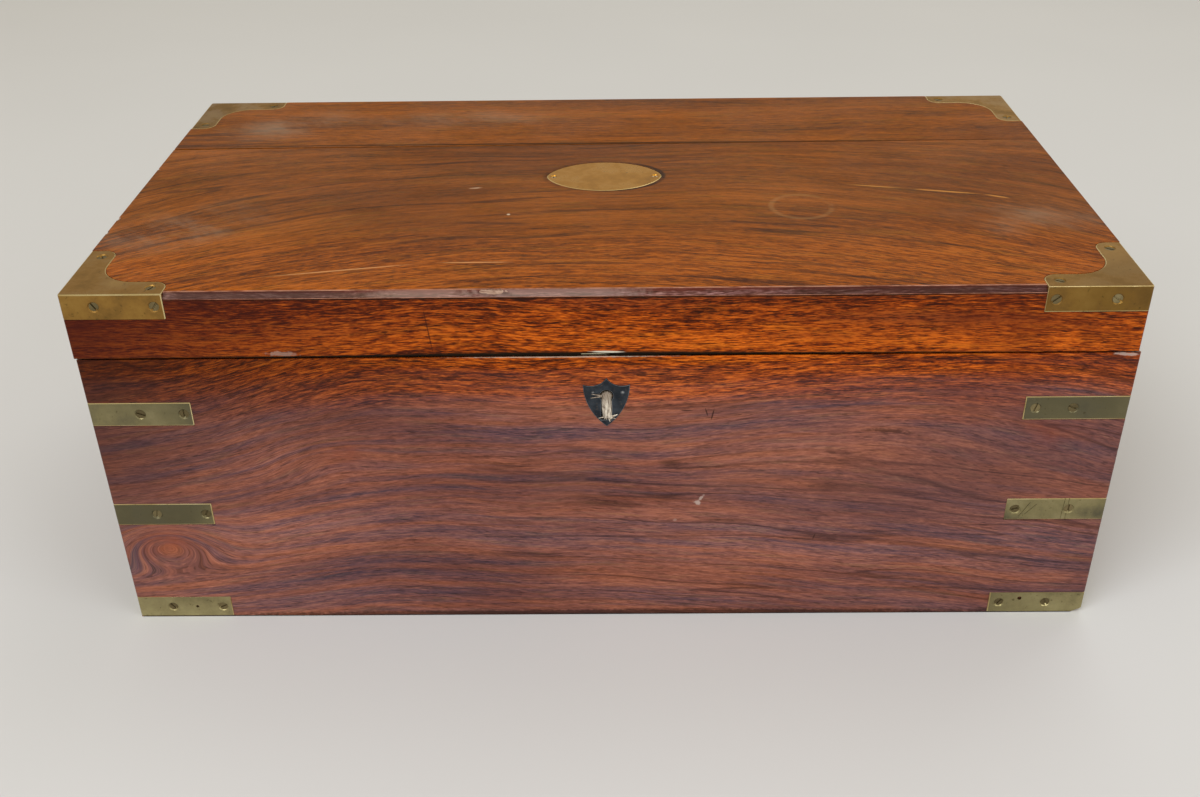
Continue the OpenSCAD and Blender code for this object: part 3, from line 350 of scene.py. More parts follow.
def mahogany(name, turn=0.0, seed=0.0):
    """Plain mahogany, planed and left unpolished inside: even brown, fine dashes, no gloss.
    The grain runs along X, or is turned from it."""
    material, add, place = new_material(name)
    grained = add("Mapping", place, (0, 0, 0), (0, 0, turn))
    bands = pattern(add, grained, (4, 60, 60), 3.0, 0.6, seed)
    fibres = pattern(add, grained, (45, 1100, 1100), 2.0, 0.6, seed + 4)
    tone = add("Math", bands, 0.6, operation="MULTIPLY")
    tone = add("Math", fibres, 0.4, tone, operation="MULTIPLY_ADD")
    wood = add("ValToRGB", tone, stops=[(0.34, "#5a3018"), (0.5, "#7d4a28"), (0.66, "#9a6438")])
    pores = pattern(add, grained, (130, 1700, 1700), 2.0, 0.5, seed + 9)
    pores = add("MapRange", pores, 0.58, 0.72, 0.0, 0.5, interpolation_type="SMOOTHSTEP")
    wood = add("Mix", pores, wood, "#3a1d10", data_type="RGBA")
    stain = pattern(add, place, (22, 22, 22), 4.0, 0.6, seed + 2)
    stain = add("MapRange", stain, 0.55, 0.75, 0.0, 0.3, interpolation_type="SMOOTHSTEP")
    wood = add("Mix", stain, wood, "#3b2114", data_type="RGBA")
    bump = add("Bump", named={"Height": fibres, "Strength": 0.3, "Distance": 0.15 * MM})
    return surfaced(material, add, {"Base Color": wood, "Roughness": 0.58, "Normal": bump})


# Metals, leather and glass

def brass(name, clean="#8c7641", dull="#5b4e2c", rubbed="#a58e58", seed=0.0, rough=(0.34, 0.58), film=0.5):
    """Cast and filed brass that has gone olive with age: metal under a thin brown film, brighter
    where hands rub it, with fine scratches in all directions."""
    material, add, place = new_material(name)
    cloud = pattern(add, place, (45, 45, 45), 5.0, 0.62, seed)
    colour = add("ValToRGB", cloud, stops=[(0.3, dull), (0.5, clean), (0.72, rubbed)])
    aged = pattern(add, place, (9, 9, 9), 2.0, 0.5, seed + 6)
    aged = add("MapRange", aged, 0.4, 0.62, 0.0, film, interpolation_type="SMOOTHSTEP")
    colour = add("Mix", aged, colour, dull, data_type="RGBA")
    specks = pattern(add, place, (420, 420, 420), 3.0, 0.6, seed + 3)
    spots = add("MapRange", specks, 0.62, 0.74, 0.0, 0.55, interpolation_type="SMOOTHSTEP")
    colour = add("Mix", spots, colour, "#3f3518", data_type="RGBA")

    # Scratches 0.3 mm apart, turned so that they run neither along nor across
    slanted = add("Mapping", place, (0, 0, 0), (0.5, 0.3, 0.6))
    scratch = pattern(add, slanted, (3000, 160, 160), 2.0, 0.6, seed)
    tarnish = add("MapRange", cloud, 0.62, 0.38, interpolation_type="SMOOTHSTEP")
    metal = add("MapRange", tarnish, 0.0, 1.0, 1.0, 1.0 - film * 0.4, interpolation_type="SMOOTHSTEP")
    roughness = add("Math", tarnish, 0.7, operation="MULTIPLY")
    roughness = add("Math", scratch, 0.3, roughness, operation="MULTIPLY_ADD")
    roughness = add("MapRange", roughness, 0.1, 0.8, *rough, interpolation_type="SMOOTHSTEP")
    relief = add("Math", cloud, 0.6, scratch, operation="MULTIPLY_ADD")
    bump = add("Bump", named={"Height": relief, "Strength": 0.25, "Distance": 0.08 * MM})
    return surfaced(material, add, {"Base Color": colour, "Metallic": metal, "Roughness": roughness,
                                    "Normal": bump})


def steel(name, colour, dark, rust, rough=(0.3, 0.5), seed=0.0):
    """Forged steel: filed and blued for the escutcheon, bright for the bolt, with rust freckles."""
    material, add, place = new_material(name)
    cloud = pattern(add, place, (120, 120, 120), 4.0, 0.6, seed)
    freckles = pattern(add, place, (700, 700, 700), 3.0, 0.6, seed + 5)
    freckles = add("MapRange", freckles, 0.6, 0.72, interpolation_type="SMOOTHSTEP")
    shade = add("MapRange", cloud, 0.35, 0.65, interpolation_type="SMOOTHSTEP")
    shade = add("Mix", shade, dark, colour, data_type="RGBA")
    shade = add("Mix", add("Math", freckles, 0.5, operation="MULTIPLY"), shade, rust, data_type="RGBA")
    metal = add("MapRange", freckles, 0.0, 1.0, 0.9, 0.35, interpolation_type="SMOOTHSTEP")
    roughness = add("MapRange", cloud, 0.3, 0.7, rough[1], rough[0], interpolation_type="SMOOTHSTEP")
    bump = add("Bump", named={"Height": cloud, "Strength": 0.4, "Distance": 0.1 * MM})
    return surfaced(material, add, {"Base Color": shade, "Metallic": metal, "Roughness": roughness,
                                    "Normal": bump})


def gold_tooling(add, level, centre, half):
    """Mask of the gold on a panel: three rules round it, and a row of lozenges between the
    second and the third. level is the panel's own X and Y, round a centre."""
    from_middle = [add("Math", add("SeparateXYZ", level, output=axis), middle_of, operation="SUBTRACT")
                   for axis, middle_of in zip("XY", centre)]
    inset = [add("Math", reach, add("Math", off, operation="ABSOLUTE"), operation="SUBTRACT")
             for reach, off in zip(half, from_middle)]
    from_edge = add("Math", *inset, operation="MINIMUM")
    gold = 0.0
    for in_mm, half_width in ((5.0, 0.45), (6.6, 0.2), (12.0, 0.3)):
        off = add("Math", from_edge, in_mm * MM, operation="SUBTRACT")
        off = add("Math", off, operation="ABSOLUTE")
        rule = add("MapRange", off, (half_width + 0.15) * MM, half_width * MM,
                   interpolation_type="SMOOTHSTEP")
        gold = add("Math", gold, rule, operation="MAXIMUM")

    # A lozenge reaches as far along the edge as its half length, less the way it is off its row
    row, step, half_height, half_length = 9.3 * MM, 4.0 * MM, 1.5 * MM, 1.5 * MM
    off_row = add("Math", add("Math", from_edge, row, operation="SUBTRACT"), operation="ABSOLUTE")
    off_row = add("Math", off_row, half_height, operation="DIVIDE")
    on_ends = add("Math", *inset, operation="LESS_THAN")
    on_fronts = add("Math", 1.0, on_ends, operation="SUBTRACT")
    for off, side in zip(from_middle, (on_fronts, on_ends)):
        beside = add("Math", off, step / 2, operation="PINGPONG")
        beside = add("Math", beside, half_length, operation="DIVIDE")
        shape = add("Math", off_row, beside, operation="ADD")
        lozenge = add("MapRange", shape, 0.95, 0.8, interpolation_type="SMOOTHSTEP")
        gold = add("Math", gold, add("Math", lozenge, side, operation="MULTIPLY"), operation="MAXIMUM")
    return gold


def tooled_leather(node):
    """Goatskin skiver glued into a flap: dyed green, rubbed brown where the hand lies, with a
    fine pebbled grain, and tooled in gold leaf with three rules and a roll of small lozenges."""
    points = [seam_place(v.co) for v in frame["nodes"][node].data.vertices]
    low, high = ([pick(p[i] for p in points) for i in (0, 1)] for pick in (min, max))
    centre = [(a + b) / 2 for a, b in zip(low, high)]
    half = [(b - a) / 2 for a, b in zip(low, high)]
    material, add, place = new_material("leather_" + node)
    level = add("Mapping", place, PIN, (-SLOPE, 0, 0), vector_type="TEXTURE")
    gold = gold_tooling(add, level, centre, half)
    worn_off = pattern(add, place, (260, 260, 260), 3.0, 0.7)
    worn_off = add("MapRange", worn_off, 0.36, 0.46, interpolation_type="SMOOTHSTEP")
    gold = add("Math", gold, worn_off, operation="MULTIPLY")

    cloud = pattern(add, place, (16, 16, 16), 5.0, 0.6, 3.0)
    hide = add("ValToRGB", cloud, stops=[(0.34, "#16281f"), (0.52, "#23402f"), (0.7, "#3a5340")])
    handled = pattern(add, place, (9, 9, 9), 3.0, 0.5, 6.0)
    handled = add("MapRange", handled, 0.52, 0.72, 0.0, 0.4, interpolation_type="SMOOTHSTEP")
    hide = add("Mix", handled, hide, "#4a3a22", data_type="RGBA")
    blots = pattern(add, place, (70, 70, 70), 2.0, 0.5, 9.0)
    blots = add("MapRange", blots, 0.72, 0.78, 0.0, 0.7, interpolation_type="SMOOTHSTEP")
    hide = add("Mix", blots, hide, "#11161a", data_type="RGBA")
    colour = add("Mix", gold, hide, "#c79a3e", data_type="RGBA")
    roughness = add("MapRange", gold, 0.0, 1.0, 0.55, 0.3, interpolation_type="SMOOTHSTEP")

    # Pebbles about 1 mm across, and the gold pressed in below them
    pebbles = add("TexVoronoi", place, 900.0, feature="SMOOTH_F1")
    relief = add("Math", pebbles, 0.5, operation="MULTIPLY")
    relief = add("Math", relief, gold, operation="SUBTRACT")
    bump = add("Bump", named={"Height": relief, "Strength": 0.5, "Distance": 0.2 * MM})
    return surfaced(material, add, {"Base Color": colour, "Metallic": gold, "Roughness": roughness,
                                    "Normal": bump})


def ink_glass():
    """Pressed lead glass, thick and faintly green, with mould ripples and a little old cloud."""
    material, add, place = new_material("glass_inkwell")
    ripple = pattern(add, place, (130, 130, 130), 2.0, 0.5)
    bump = add("Bump", named={"Height": ripple, "Strength": 0.3, "Distance": 0.3 * MM})
    rough = add("MapRange", ripple, 0.3, 0.7, 0.02, 0.08, interpolation_type="SMOOTHSTEP")
    return surfaced(material, add, {"Base Color": "#cfe3da", "Roughness": rough, "Normal": bump, "IOR": 1.54,
                                    "Transmission Weight": 0.78})


# Meshes

def select_only(piece):
    """Object mode, with only this piece selected and active."""
    if bpy.context.mode != "OBJECT":
        bpy.ops.object.mode_set(mode="OBJECT")
    bpy.ops.object.select_all(action="DESELECT")
    piece.select_set(True)
    bpy.context.view_layer.objects.active = piece


def finish_modifiers(piece):
    """Applies every modifier of a piece."""
    select_only(piece)
    for name in [m.name for m in piece.modifiers]:
        bpy.ops.object.modifier_apply(modifier=name)


def clean_copy(node, name):
    """A new piece from a node's shape, its loose triangles merged into whole faces."""
    mesh = frame["nodes"][node].data.copy()
    piece = bpy.data.objects.new(name, mesh)
    bpy.context.scene.collection.objects.link(piece)
    mesh.name = name
    mesh.materials.clear()
    select_only(piece)
    bpy.ops.object.mode_set(mode="EDIT")
    bpy.ops.mesh.select_all(action="SELECT")
    bpy.ops.mesh.remove_doubles(threshold=MERGED)
    bpy.ops.mesh.dissolve_limited(angle_limit=math.radians(0.2))
    bpy.ops.mesh.customdata_custom_splitnormals_clear()
    bpy.ops.object.mode_set(mode="OBJECT")
    return piece


def soften(piece, width, segments=2, angle=32.0, keep=None, worn_slot=0):
    """Rounds the sharp edges of a piece. keep(a, b) says which edges, by their end points."""
    mesh = bmesh.new()
    mesh.from_mesh(piece.data)
    layer = mesh.edges.layers.float.new("bevel_weight_edge")
    for edge in mesh.edges:
        if len(edge.link_faces) != 2 or edge.calc_face_angle(0) < math.radians(angle):
            continue
        ends = [v.co for v in edge.verts]
        if keep is None or keep(*ends):
            edge[layer] = 1.0
    mesh.to_mesh(piece.data)
    mesh.free()
    select_only(piece)
    bpy.ops.object.modifier_add(type="BEVEL")
    bevel = piece.modifiers[-1]
    bevel.limit_method = "WEIGHT"
    bevel.width = width
    bevel.segments = segments
    bevel.use_clamp_overlap = False
    bevel.material = worn_slot
    bevel.loop_slide = True
    finish_modifiers(piece)


def smooth(piece, angle=34.0):
    """Smooth shading that stays crisp at the real edges."""
    select_only(piece)
    bpy.ops.object.shade_smooth_by_angle(angle=math.radians(angle))
    bpy.ops.object.modifier_add(type="WEIGHTED_NORMAL")
    piece.modifiers[-1].keep_sharp = True
    finish_modifiers(piece)


def cut_out(piece, tool, material_mode="INDEX"):
    """Cuts a tool's shape out of a piece and deletes the tool."""
    select_only(piece)
    bpy.ops.object.modifier_add(type="BOOLEAN")
    cut = piece.modifiers[-1]
    cut.operation = "DIFFERENCE"
    cut.solver = "EXACT"
    cut.material_mode = material_mode
    cut.object = tool
    finish_modifiers(piece)
    bpy.data.objects.remove(tool)


def repaint(piece, finish, wanted):
    """Gives a finish to the faces that wanted(face) names."""
    piece.data.materials.append(finish)
    slot = len(piece.data.materials) - 1
    for face in piece.data.polygons:
        if wanted(face):
            face.material_index = slot


def place_on(piece, body, slot, *nodes):
    """The piece rides on a body and stands for these nodes, which it hides. Its slot is not used."""
    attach(piece, body)
    if nodes:
        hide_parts(*nodes)


def body_of(node):
    """Name of the body that a node rides on."""
    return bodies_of(frame["nodes"][node])[0]


def dressed(node, slot, finish, worn, width, segments=2, keep=None, angle=32.0):
    """A node's shape with rounded edges, its finish, and a second finish on the worn edges."""
    piece = clean_copy(node, "finished_" + node)
    piece.data.materials.append(finish)
    piece.data.materials.append(worn)
    soften(piece, width, segments, angle, keep, worn_slot=1)
    smooth(piece)
    place_on(piece, body_of(node), slot, node)
    return piece


# Boards

def exposed(a, b):
    """True for an edge where two of the box's plain faces meet, and so not round a brass's recess
    nor in a mitre. The faces are the outer and inner ones, the seam's and the front bevel."""
    near = 0.06 * MM

    def on_faces(p):
        off_seam = (p.z - PIN.z) * math.cos(SLOPE) + (p.y - PIN.y) * math.sin(SLOPE)
        gaps = (HALF_W - abs(p.x), HALF_W + LID_X - p.x, HALF_W - LID_X + p.x, BACK_Y - abs(p.y), p.z,
                TOP_Z - p.z, abs(off_seam) - SEAM_GAP / 2, IN_W - abs(p.x), BACK_Y - WALL - abs(p.y),
                TOP_Z - BEVEL + (p.y - FRONT_Y) - p.z)
        return {i for i, gap in enumerate(gaps) if abs(gap) < near}

    return len(on_faces(a) & on_faces(b)) >= 2


def chip(piece, centre, size, finish, dice):
    """Splits a splinter out of a piece: a rough lump is cut away and bares raw wood."""
    bpy.ops.object.select_all(action="DESELECT")
    bpy.ops.mesh.primitive_ico_sphere_add(subdivisions=2, radius=1, location=(0, 0, 0))
    lump = bpy.context.object
    for vertex in lump.data.vertices:
        reach = 1 + dice.uniform(-0.22, 0.22)
        vertex.co = Vector(centre) + Vector(v * s * reach for v, s in zip(vertex.co, size))
    lump.data.materials.append(finish)
    cut_out(piece, lump, material_mode="TRANSFER")


def wear_foot(piece):
    """Takes the tip off the right front foot: the slope starts 6 mm along each edge and 3 mm up."""
    select_only(piece)
    bpy.ops.object.mode_set(mode="EDIT")
    bpy.ops.mesh.select_all(action="SELECT")
    bpy.ops.mesh.bisect(plane_co=(HALF_W - 6 * MM, FRONT_Y, 0),
                        plane_no=Vector((1, -1, -2)).normalized(), use_fill=True, clear_outer=True)
    bpy.ops.object.mode_set(mode="OBJECT")
    smooth(piece)


def upright_boards(edge, raw):
    """The eight boards round the base and the lid. The two fronts have a wood each, and the sides
    and the backs one wood for both halves."""
    black, pale = "#1d0d0d", "#b9a6a0"
    fiery = ("#3e0e04", "#a04606", "#e0741a")
    # The front's mauve tones are partly a painted cool reflection from the floor below.
    front_wood = rosewood(
        "rosewood_front", seed=2.0, tones=("#4e3a44", "#885c58", "#bc8474"), contrast=0.92,
        warm=(0.12, 0.152, 1.0, fiery), pored=0.45, streaks=("#5a5062", "#b46e48", 0.42), zones=0.6,
        eyes=[((-0.227, FRONT_Y, 0.047), (0.052, 0.05, 0.03))],
        knots=[((-0.27, FRONT_Y, 0.09), (0.2, 0.1, 0.14), 34 * MM),
               ((-0.136, FRONT_Y, 0.1), (0.04, 0.05, 0.02), -5 * MM),
               ((0.26, FRONT_Y, 0.03), (0.28, 0.1, 0.12), 24 * MM),
               ((0.15, FRONT_Y, 0.122), (0.16, 0.1, 0.05), -9 * MM)],
        marks=[
            # Where the board is darker or lighter over a hand's width. The first two are painted shade that
            # darkens the left end.
            ((-0.3, FRONT_Y, 0.17), (0.34, 0.06, 0.09), 0, "#2c0a04", 1.0, 0),
            ((-0.27, FRONT_Y, 0.1), (0.11, 0.06, 0.09), 0, "#2c1216", 0.6, 0),
            ((0.19, FRONT_Y, 0.1), (0.14, 0.06, 0.046), 0.06, "#4a323a", 0.5, 0),
            ((0.15, FRONT_Y, 0.072), (0.12, 0.06, 0.035), 0, "#4c3640", 0.4, 0),
            ((-0.19, FRONT_Y, 0.092), (0.12, 0.06, 0.04), 0, "#5c3c40", 0.5, 0.25),
            ((0.25, FRONT_Y, 0.142), (0.14, 0.06, 0.04), 0, "#5e1f0a", 0.5, 0.25),
            ((0.02, FRONT_Y, 0.083), (0.13, 0.06, 0.05), 0, "#a06a58", 0.3, 0.25),
            # The rubbed edge of the seam over the lock, pale from wear and from a painted highlight
            ((-0.02, FRONT_Y, 0.1577), (65 * MM, 2 * MM, 0.7 * MM), 0, "#c8b6a8", 0.8, 0.5),
            # Redder wood round the knots
            ((-0.227, FRONT_Y, 0.049), (22 * MM, 20 * MM, 18 * MM), 0, "#a8502c", 0.35, 0.5),
            ((-0.136, FRONT_Y, 0.102), (20 * MM, 20 * MM, 12 * MM), 0, "#a04c28", 0.4, 0.5),
            ((0.215, FRONT_Y, 0.112), (30 * MM, 20 * MM, 12 * MM), 0, "#8a3c22", 0.35, 0.5),
            # Bruises that show pale wood
            ((0.045, FRONT_Y, 0.073), (2.6 * MM, 2 * MM, 1.5 * MM), 0.5, pale, 0.85, 1.0),
            ((0.047, FRONT_Y, 0.076), (2.2 * MM, 2 * MM, 1.0 * MM), -0.9, pale, 0.7, 1.0),
            ((0.034, FRONT_Y, 0.062), (1.2 * MM, 2 * MM, 1.1 * MM), 0, "#a08078", 0.7, 0.8),
            ((0.243, FRONT_Y, 0.1568), (8 * MM, 3 * MM, 1.0 * MM), 0.06, pale, 0.75, 0.8),
            # Scratches that have filled with dirt
            ((0.038, FRONT_Y, 0.1275), (4 * MM, 2 * MM, 0.45 * MM), 0.1, black, 0.8, 0.3),
            ((0.051, FRONT_Y, 0.125), (0.5 * MM, 2 * MM, 4.0 * MM), 0.2, black, 0.8, 0.3),
            ((0.048, FRONT_Y, 0.1265), (0.45 * MM, 2 * MM, 3.0 * MM), -0.3, black, 0.7, 0.3),
            ((0.137, FRONT_Y, 0.115), (13 * MM, 3 * MM, 1.6 * MM), 0.08, black, 0.55, 0.7),
            ((0.105, FRONT_Y, 0.051), (0.5 * MM, 2 * MM, 2.2 * MM), 0.3, black, 0.6, 0.3),
            # Darker along the foot
            ((0.0, FRONT_Y, 0.001), (0.27, 4 * MM, 3 * MM), 0, "#20100e", 0.7, 0.5)])
    lid_wood = rosewood(
        "rosewood_lid_front", seed=2.6, tones=("#2a0a08", "#6e2a10", "#a0501e"), pored=0.85, contrast=1.3,
        warm=(0.189, 0.172, 0.9, fiery), zones=0.4,
        marks=[
            # Painted shade on the left end, a painted shadow under the bevel, and the browner right half
            ((-0.3, FRONT_Y, 0.18), (0.3, 0.06, 0.12), 0, "#3c0808", 1.0, 0),
            ((0.0, FRONT_Y, 0.1889), (0.3, 2 * MM, 1.1 * MM), 0, "#120404", 0.8, 0.3),
            ((0.2, FRONT_Y, 0.172), (0.2, 0.06, 0.05), 0, "#5c1c06", 0.55, 0.25),
            # A bruise, a painted black shadow in the seam gap over the lock with a painted highlight of the
            # link plate in it, and a crack
            ((-0.152, FRONT_Y, 0.16), (9 * MM, 3 * MM, 1.6 * MM), 0.05, "#a8948c", 0.5, 1.3),
            ((-0.015, FRONT_Y, 0.1584), (0.15, 3 * MM, 2.7 * MM), 0, "#060302", 1.0, 0.12),
            ((-0.015, FRONT_Y, 0.1584), (0.3, 3 * MM, 1.2 * MM), 0, "#060302", 1.0, 0.12),
            ((0.0005, FRONT_Y, 0.1601), (10 * MM, 2 * MM, 0.65 * MM), 0.02, "#d6d4c6", 0.95, 0.15),
            ((-0.0825, FRONT_Y, 0.172), (0.4 * MM, 2 * MM, 15 * MM), -0.12, "#300c0a", 0.7, 0.25)])
    side_wood = rosewood("rosewood_sides", axes="YZX", seed=5.2, tones=("#2e1418", "#5f2e22", "#8a4a2c"),
                         warm=(0.12, 0.16, 0.7, fiery))
    back_wood = rosewood("rosewood_back", seed=8.1, tones=("#2c1317", "#5a2a20", "#834426"))
    woods = {"base_front": front_wood, "base_back": back_wood, "base_left": side_wood,
             "base_right": side_wood, "lid_front": lid_wood, "lid_back": back_wood,
             "lid_left": side_wood, "lid_right": side_wood}
    for node, wood in woods.items():
        piece = dressed(node, "rosewood", wood, edge, 0.6 * MM, keep=exposed)
        if node in ("base_front", "base_right"):
            wear_foot(piece)
        if node == "base_front":
            keyhole = middle("escutcheon")
            repaint(piece, raw, lambda face: abs(face.normal.y) < 0.5
                    and abs(face.center.x - keyhole.x) < 8 * MM
                    and abs(face.center.z - keyhole.z) < 12 * MM)


def lid_top(edge, raw):
    """The two boards of the lid's top, with the marks of use, painted sheen and painted highlights, the
    bevel and its splinters.
    """
    top_tones = ("#44230a", "#804702", "#a05c14")
    warm_top = ("#4c1e08", "#924c0a", "#ba6a22")
    painted_sheen, ochre, sandy = "#a59280", "#cf9048", "#d09a68"
    plate = middle("name_plate")
    joint = ((0.0, JOINT_Y, TOP_Z), (0.3, 1.7 * MM, 2 * MM), 0, "#2a1608", 0.75, 0.2)
    front_wood = rosewood(
        "rosewood_lid_top_front", axes="XYZ", seed=11.0, tones=top_tones, arch=(0.0, 1.2, (0.13, -0.12)),
        warm=(-0.04, -0.11, 0.7, warm_top), pored=0.35, contrast=0.85, streaks=("#5e3c1c", "#a4662e", 0.3),
        zones=0.55, shine=0.04,
        rings=[
            # The mark of a glass, and the dirt round the plate
            ((0.101, -0.04, TOP_Z), (15.5 * MM, 15.5 * MM), 2.2 * MM, "#b08454", 0.25),
            ((plate.x, plate.y, TOP_Z), (32 * MM, 21 * MM), 2.4 * MM, "#241006", 0.9)],
        marks=[
            # Pale patches of painted sheen, a dark spot and pale specks
            ((-0.215, -0.06, TOP_Z), (60 * MM, 36 * MM, 4 * MM), 0.5, painted_sheen, 0.36, 0.3),
            ((0.212, -0.058, TOP_Z), (54 * MM, 26 * MM, 4 * MM), 0, painted_sheen, 0.36, 0.3),
            ((-0.125, -0.037, TOP_Z), (30 * MM, 12 * MM, 4 * MM), 0, "#301a0c", 0.6, 0.5),
            ((-0.050, -0.047, TOP_Z), (1.2 * MM, 1.2 * MM, 2 * MM), 0, "#d6c8b4", 0.8, 0.2),
            ((-0.070, -0.011, TOP_Z), (4 * MM, 1.2 * MM, 2 * MM), 0.2, "#c0a890", 0.6, 0.6),
            # Long scratches through the polish
            ((0.143, -0.0135, TOP_Z), (17 * MM, 1.0 * MM, 2 * MM), -0.21, ochre, 0.6, 0.15),
            ((0.179, -0.0215, TOP_Z), (21 * MM, 1.2 * MM, 2 * MM), -0.22, ochre, 0.7, 0.15),
            ((0.205, -0.029, TOP_Z), (8 * MM, 1.1 * MM, 2 * MM), -0.43, ochre, 0.7, 0.15),
            ((-0.125, -0.1115, TOP_Z), (42 * MM, 0.8 * MM, 2 * MM), 0.18, sandy, 0.7, 0.15),
            ((-0.062, -0.104, TOP_Z), (22 * MM, 0.8 * MM, 2 * MM), 0.0, sandy, 0.7, 0.15),
            # The board joint, and a bruise on its edge
            joint,
            ((0.036, JOINT_Y - 0.3 * MM, TOP_Z), (13 * MM, 0.8 * MM, 2 * MM), 0.0, "#c8b8a4", 0.7, 0.4)])
    back_wood = rosewood(
        "rosewood_lid_top_back", axes="XYZ", seed=14.0, tones=top_tones, pored=0.25, contrast=0.7,
        zones=0.4, shine=0.04,
        # Pale patches of painted sheen, the board joint and a pale speck
        marks=[((-0.19, 0.09, TOP_Z), (60 * MM, 28 * MM, 4 * MM), 0.4, painted_sheen, 0.42, 0.3),
               ((-0.09, 0.1, TOP_Z), (80 * MM, 22 * MM, 4 * MM), 0, painted_sheen, 0.32, 0.3),
               joint,
               ((0.234, 0.051, TOP_Z), (2 * MM, 2 * MM, 2 * MM), 0, "#c8bca8", 0.7, 0.3)])
    front = dressed("lid_top_front_board", "rosewood", front_wood, edge, 0.4 * MM, keep=exposed)
    dressed("lid_top_back_board", "rosewood", back_wood, edge, 0.3 * MM, keep=exposed)

    # The bevel is wine red along its upper edge and dark at its ends. Its greyish pink tones are partly a
    # painted sheen, and its pale patches are painted highlights.
    bevel_marks = [((0, FRONT_Y + BEVEL, TOP_Z), (0.3, 2.4 * MM, 2.4 * MM), 0, "#581e1a", 0.8, 0.3)]
    for x, half, colour, strength in (
            (-0.165, 0.07, "#35161a", 0.75), (0.15, 0.1, "#35181a", 0.6), (-0.085, 0.03, "#b89c94", 0.3),
            (-0.02, 0.05, "#b8a4a0", 0.3), (0.222, 0.03, "#241010", 0.7)):
        bevel_marks.append(((x, FRONT_Y, TOP_Z), (half, 9 * MM, 9 * MM), 0, colour, strength, 0.4))
    bevel = rosewood("rosewood_worn_bevel", axes="XYZ", seed=31.0, tones=("#34191a", "#6c4644", "#a88684"),
                     gloss=0.3, shine=0.2, zones=0.6, marks=bevel_marks)
    repaint(front, bevel, lambda face: face.normal.y < -0.6 and face.normal.z > 0.6)

    # Splinters are missing from the bevel and from the left edge; lengths and depths in mm
    dice = random.Random(5)
    for x, length, depth in (
            (-0.0595, 3.4, 0.6), (-0.056, 3.4, 1.1), (-0.052, 3.2, 1.5), (-0.0485, 2.6, 1.3),
            (-0.0455, 1.6, 0.8), (0.112, 1.8, 0.5), (0.166, 1.1, 0.5), (-0.168, 1.4, 0.5)):
        chip(front, (x, FRONT_Y + 1.1 * MM, TOP_Z - 0.5 * MM),
             (length * MM, depth * 1.4 * MM, depth * MM), raw, dice)
    for y, length in ((-0.0655, 2.2), (-0.048, 2.4), (0.021, 1.2)):
        chip(front, (-HALF_W + LID_X, y, TOP_Z), (0.7 * MM, length * MM, 0.6 * MM), raw, dice)


def wooden_boards():
    """The outside of the box, with pale rubbed wood on its edges and raw wood where it has split."""
    edge = rosewood("rosewood_rubbed_edges", seed=4.4, tones=("#5a3028", "#8a5a48", "#b98a74"), rub=0.6,
                    gloss=0.42, pored=0.3)
    raw = raw_wood()
    upright_boards(edge, raw)
    lid_top(edge, raw)


# Screws

def screw_places(node):
    """(middle of the face, way out, radius) of each screw in a node. The face is the widest
    flat of each loose solid. Its triangles are taken in the mesh's own order, so that every
    run gives the same way out."""
    mesh = bmesh.new()
    mesh.from_mesh(frame["nodes"][node].data)
    bmesh.ops.remove_doubles(mesh, verts=mesh.verts, dist=MERGED)
    mesh.faces.index_update()
    left = set(mesh.faces)
    places = []
    while left:
        island, reached = set(), [left.pop()]
        while reached:
            face = reached.pop()
            island.add(face)
            for neighbour in (f for e in face.edges for f in e.link_faces):
                if neighbour in left:
                    left.remove(neighbour)
                    reached.append(neighbour)
        flats = {}
        for face in sorted(island, key=lambda f: f.index):
            flats.setdefault(tuple(round(c, 2) for c in face.normal), []).append(face)
        flat = max(flats.values(), key=lambda faces: sum(f.calc_area() for f in faces))
        points = [v.co for f in flat for v in f.verts]
        low = Vector([min(p[i] for p in points) for i in range(3)])
        high = Vector([max(p[i] for p in points) for i in range(3)])
        centre = (low + high) / 2
        places.append((centre, flat[0].normal.copy(), max((p - centre).length for p in points)))
    mesh.free()
    return sorted(places, key=lambda p: tuple(round(c, 4) for c in p[0]))


def slotted_screw(radius, finish):
    """A countersunk wood screw with a filed slot, its face at z 0 and its shank down."""
    head, shank, slot_width, slot_depth = 1.6 * MM, 5.5 * MM, 0.75 * MM, 0.65 * MM
    bpy.ops.object.select_all(action="DESELECT")
    bpy.ops.mesh.primitive_cone_add(vertices=32, radius1=0.38 * radius, radius2=radius, depth=head,
                                    location=(0, 0, -head / 2))
    screw = bpy.context.object
    bpy.ops.object.mode_set(mode="EDIT")
    bpy.ops.mesh.select_all(action="DESELECT")
    mesh = bmesh.from_edit_mesh(screw.data)
    for face in mesh.faces:
        face.select = face.normal.z < -0.9
    bpy.ops.mesh.extrude_region_move(TRANSFORM_OT_translate={"value": (0, 0, -shank)})
    bpy.ops.object.mode_set(mode="OBJECT")
    bpy.ops.object.select_all(action="DESELECT")
    bpy.ops.mesh.primitive_cube_add(size=1, location=(0, 0, 0),
                                    scale=(4 * radius, slot_width, 2 * slot_depth))
    blade = bpy.context.object
    select_only(screw)
    bpy.ops.object.transform_apply(location=True, rotation=True, scale=True)
    cut_out(screw, blade)
    screw.data.materials.append(finish)
    soften(screw, 0.12 * MM, angle=40)
    return screw


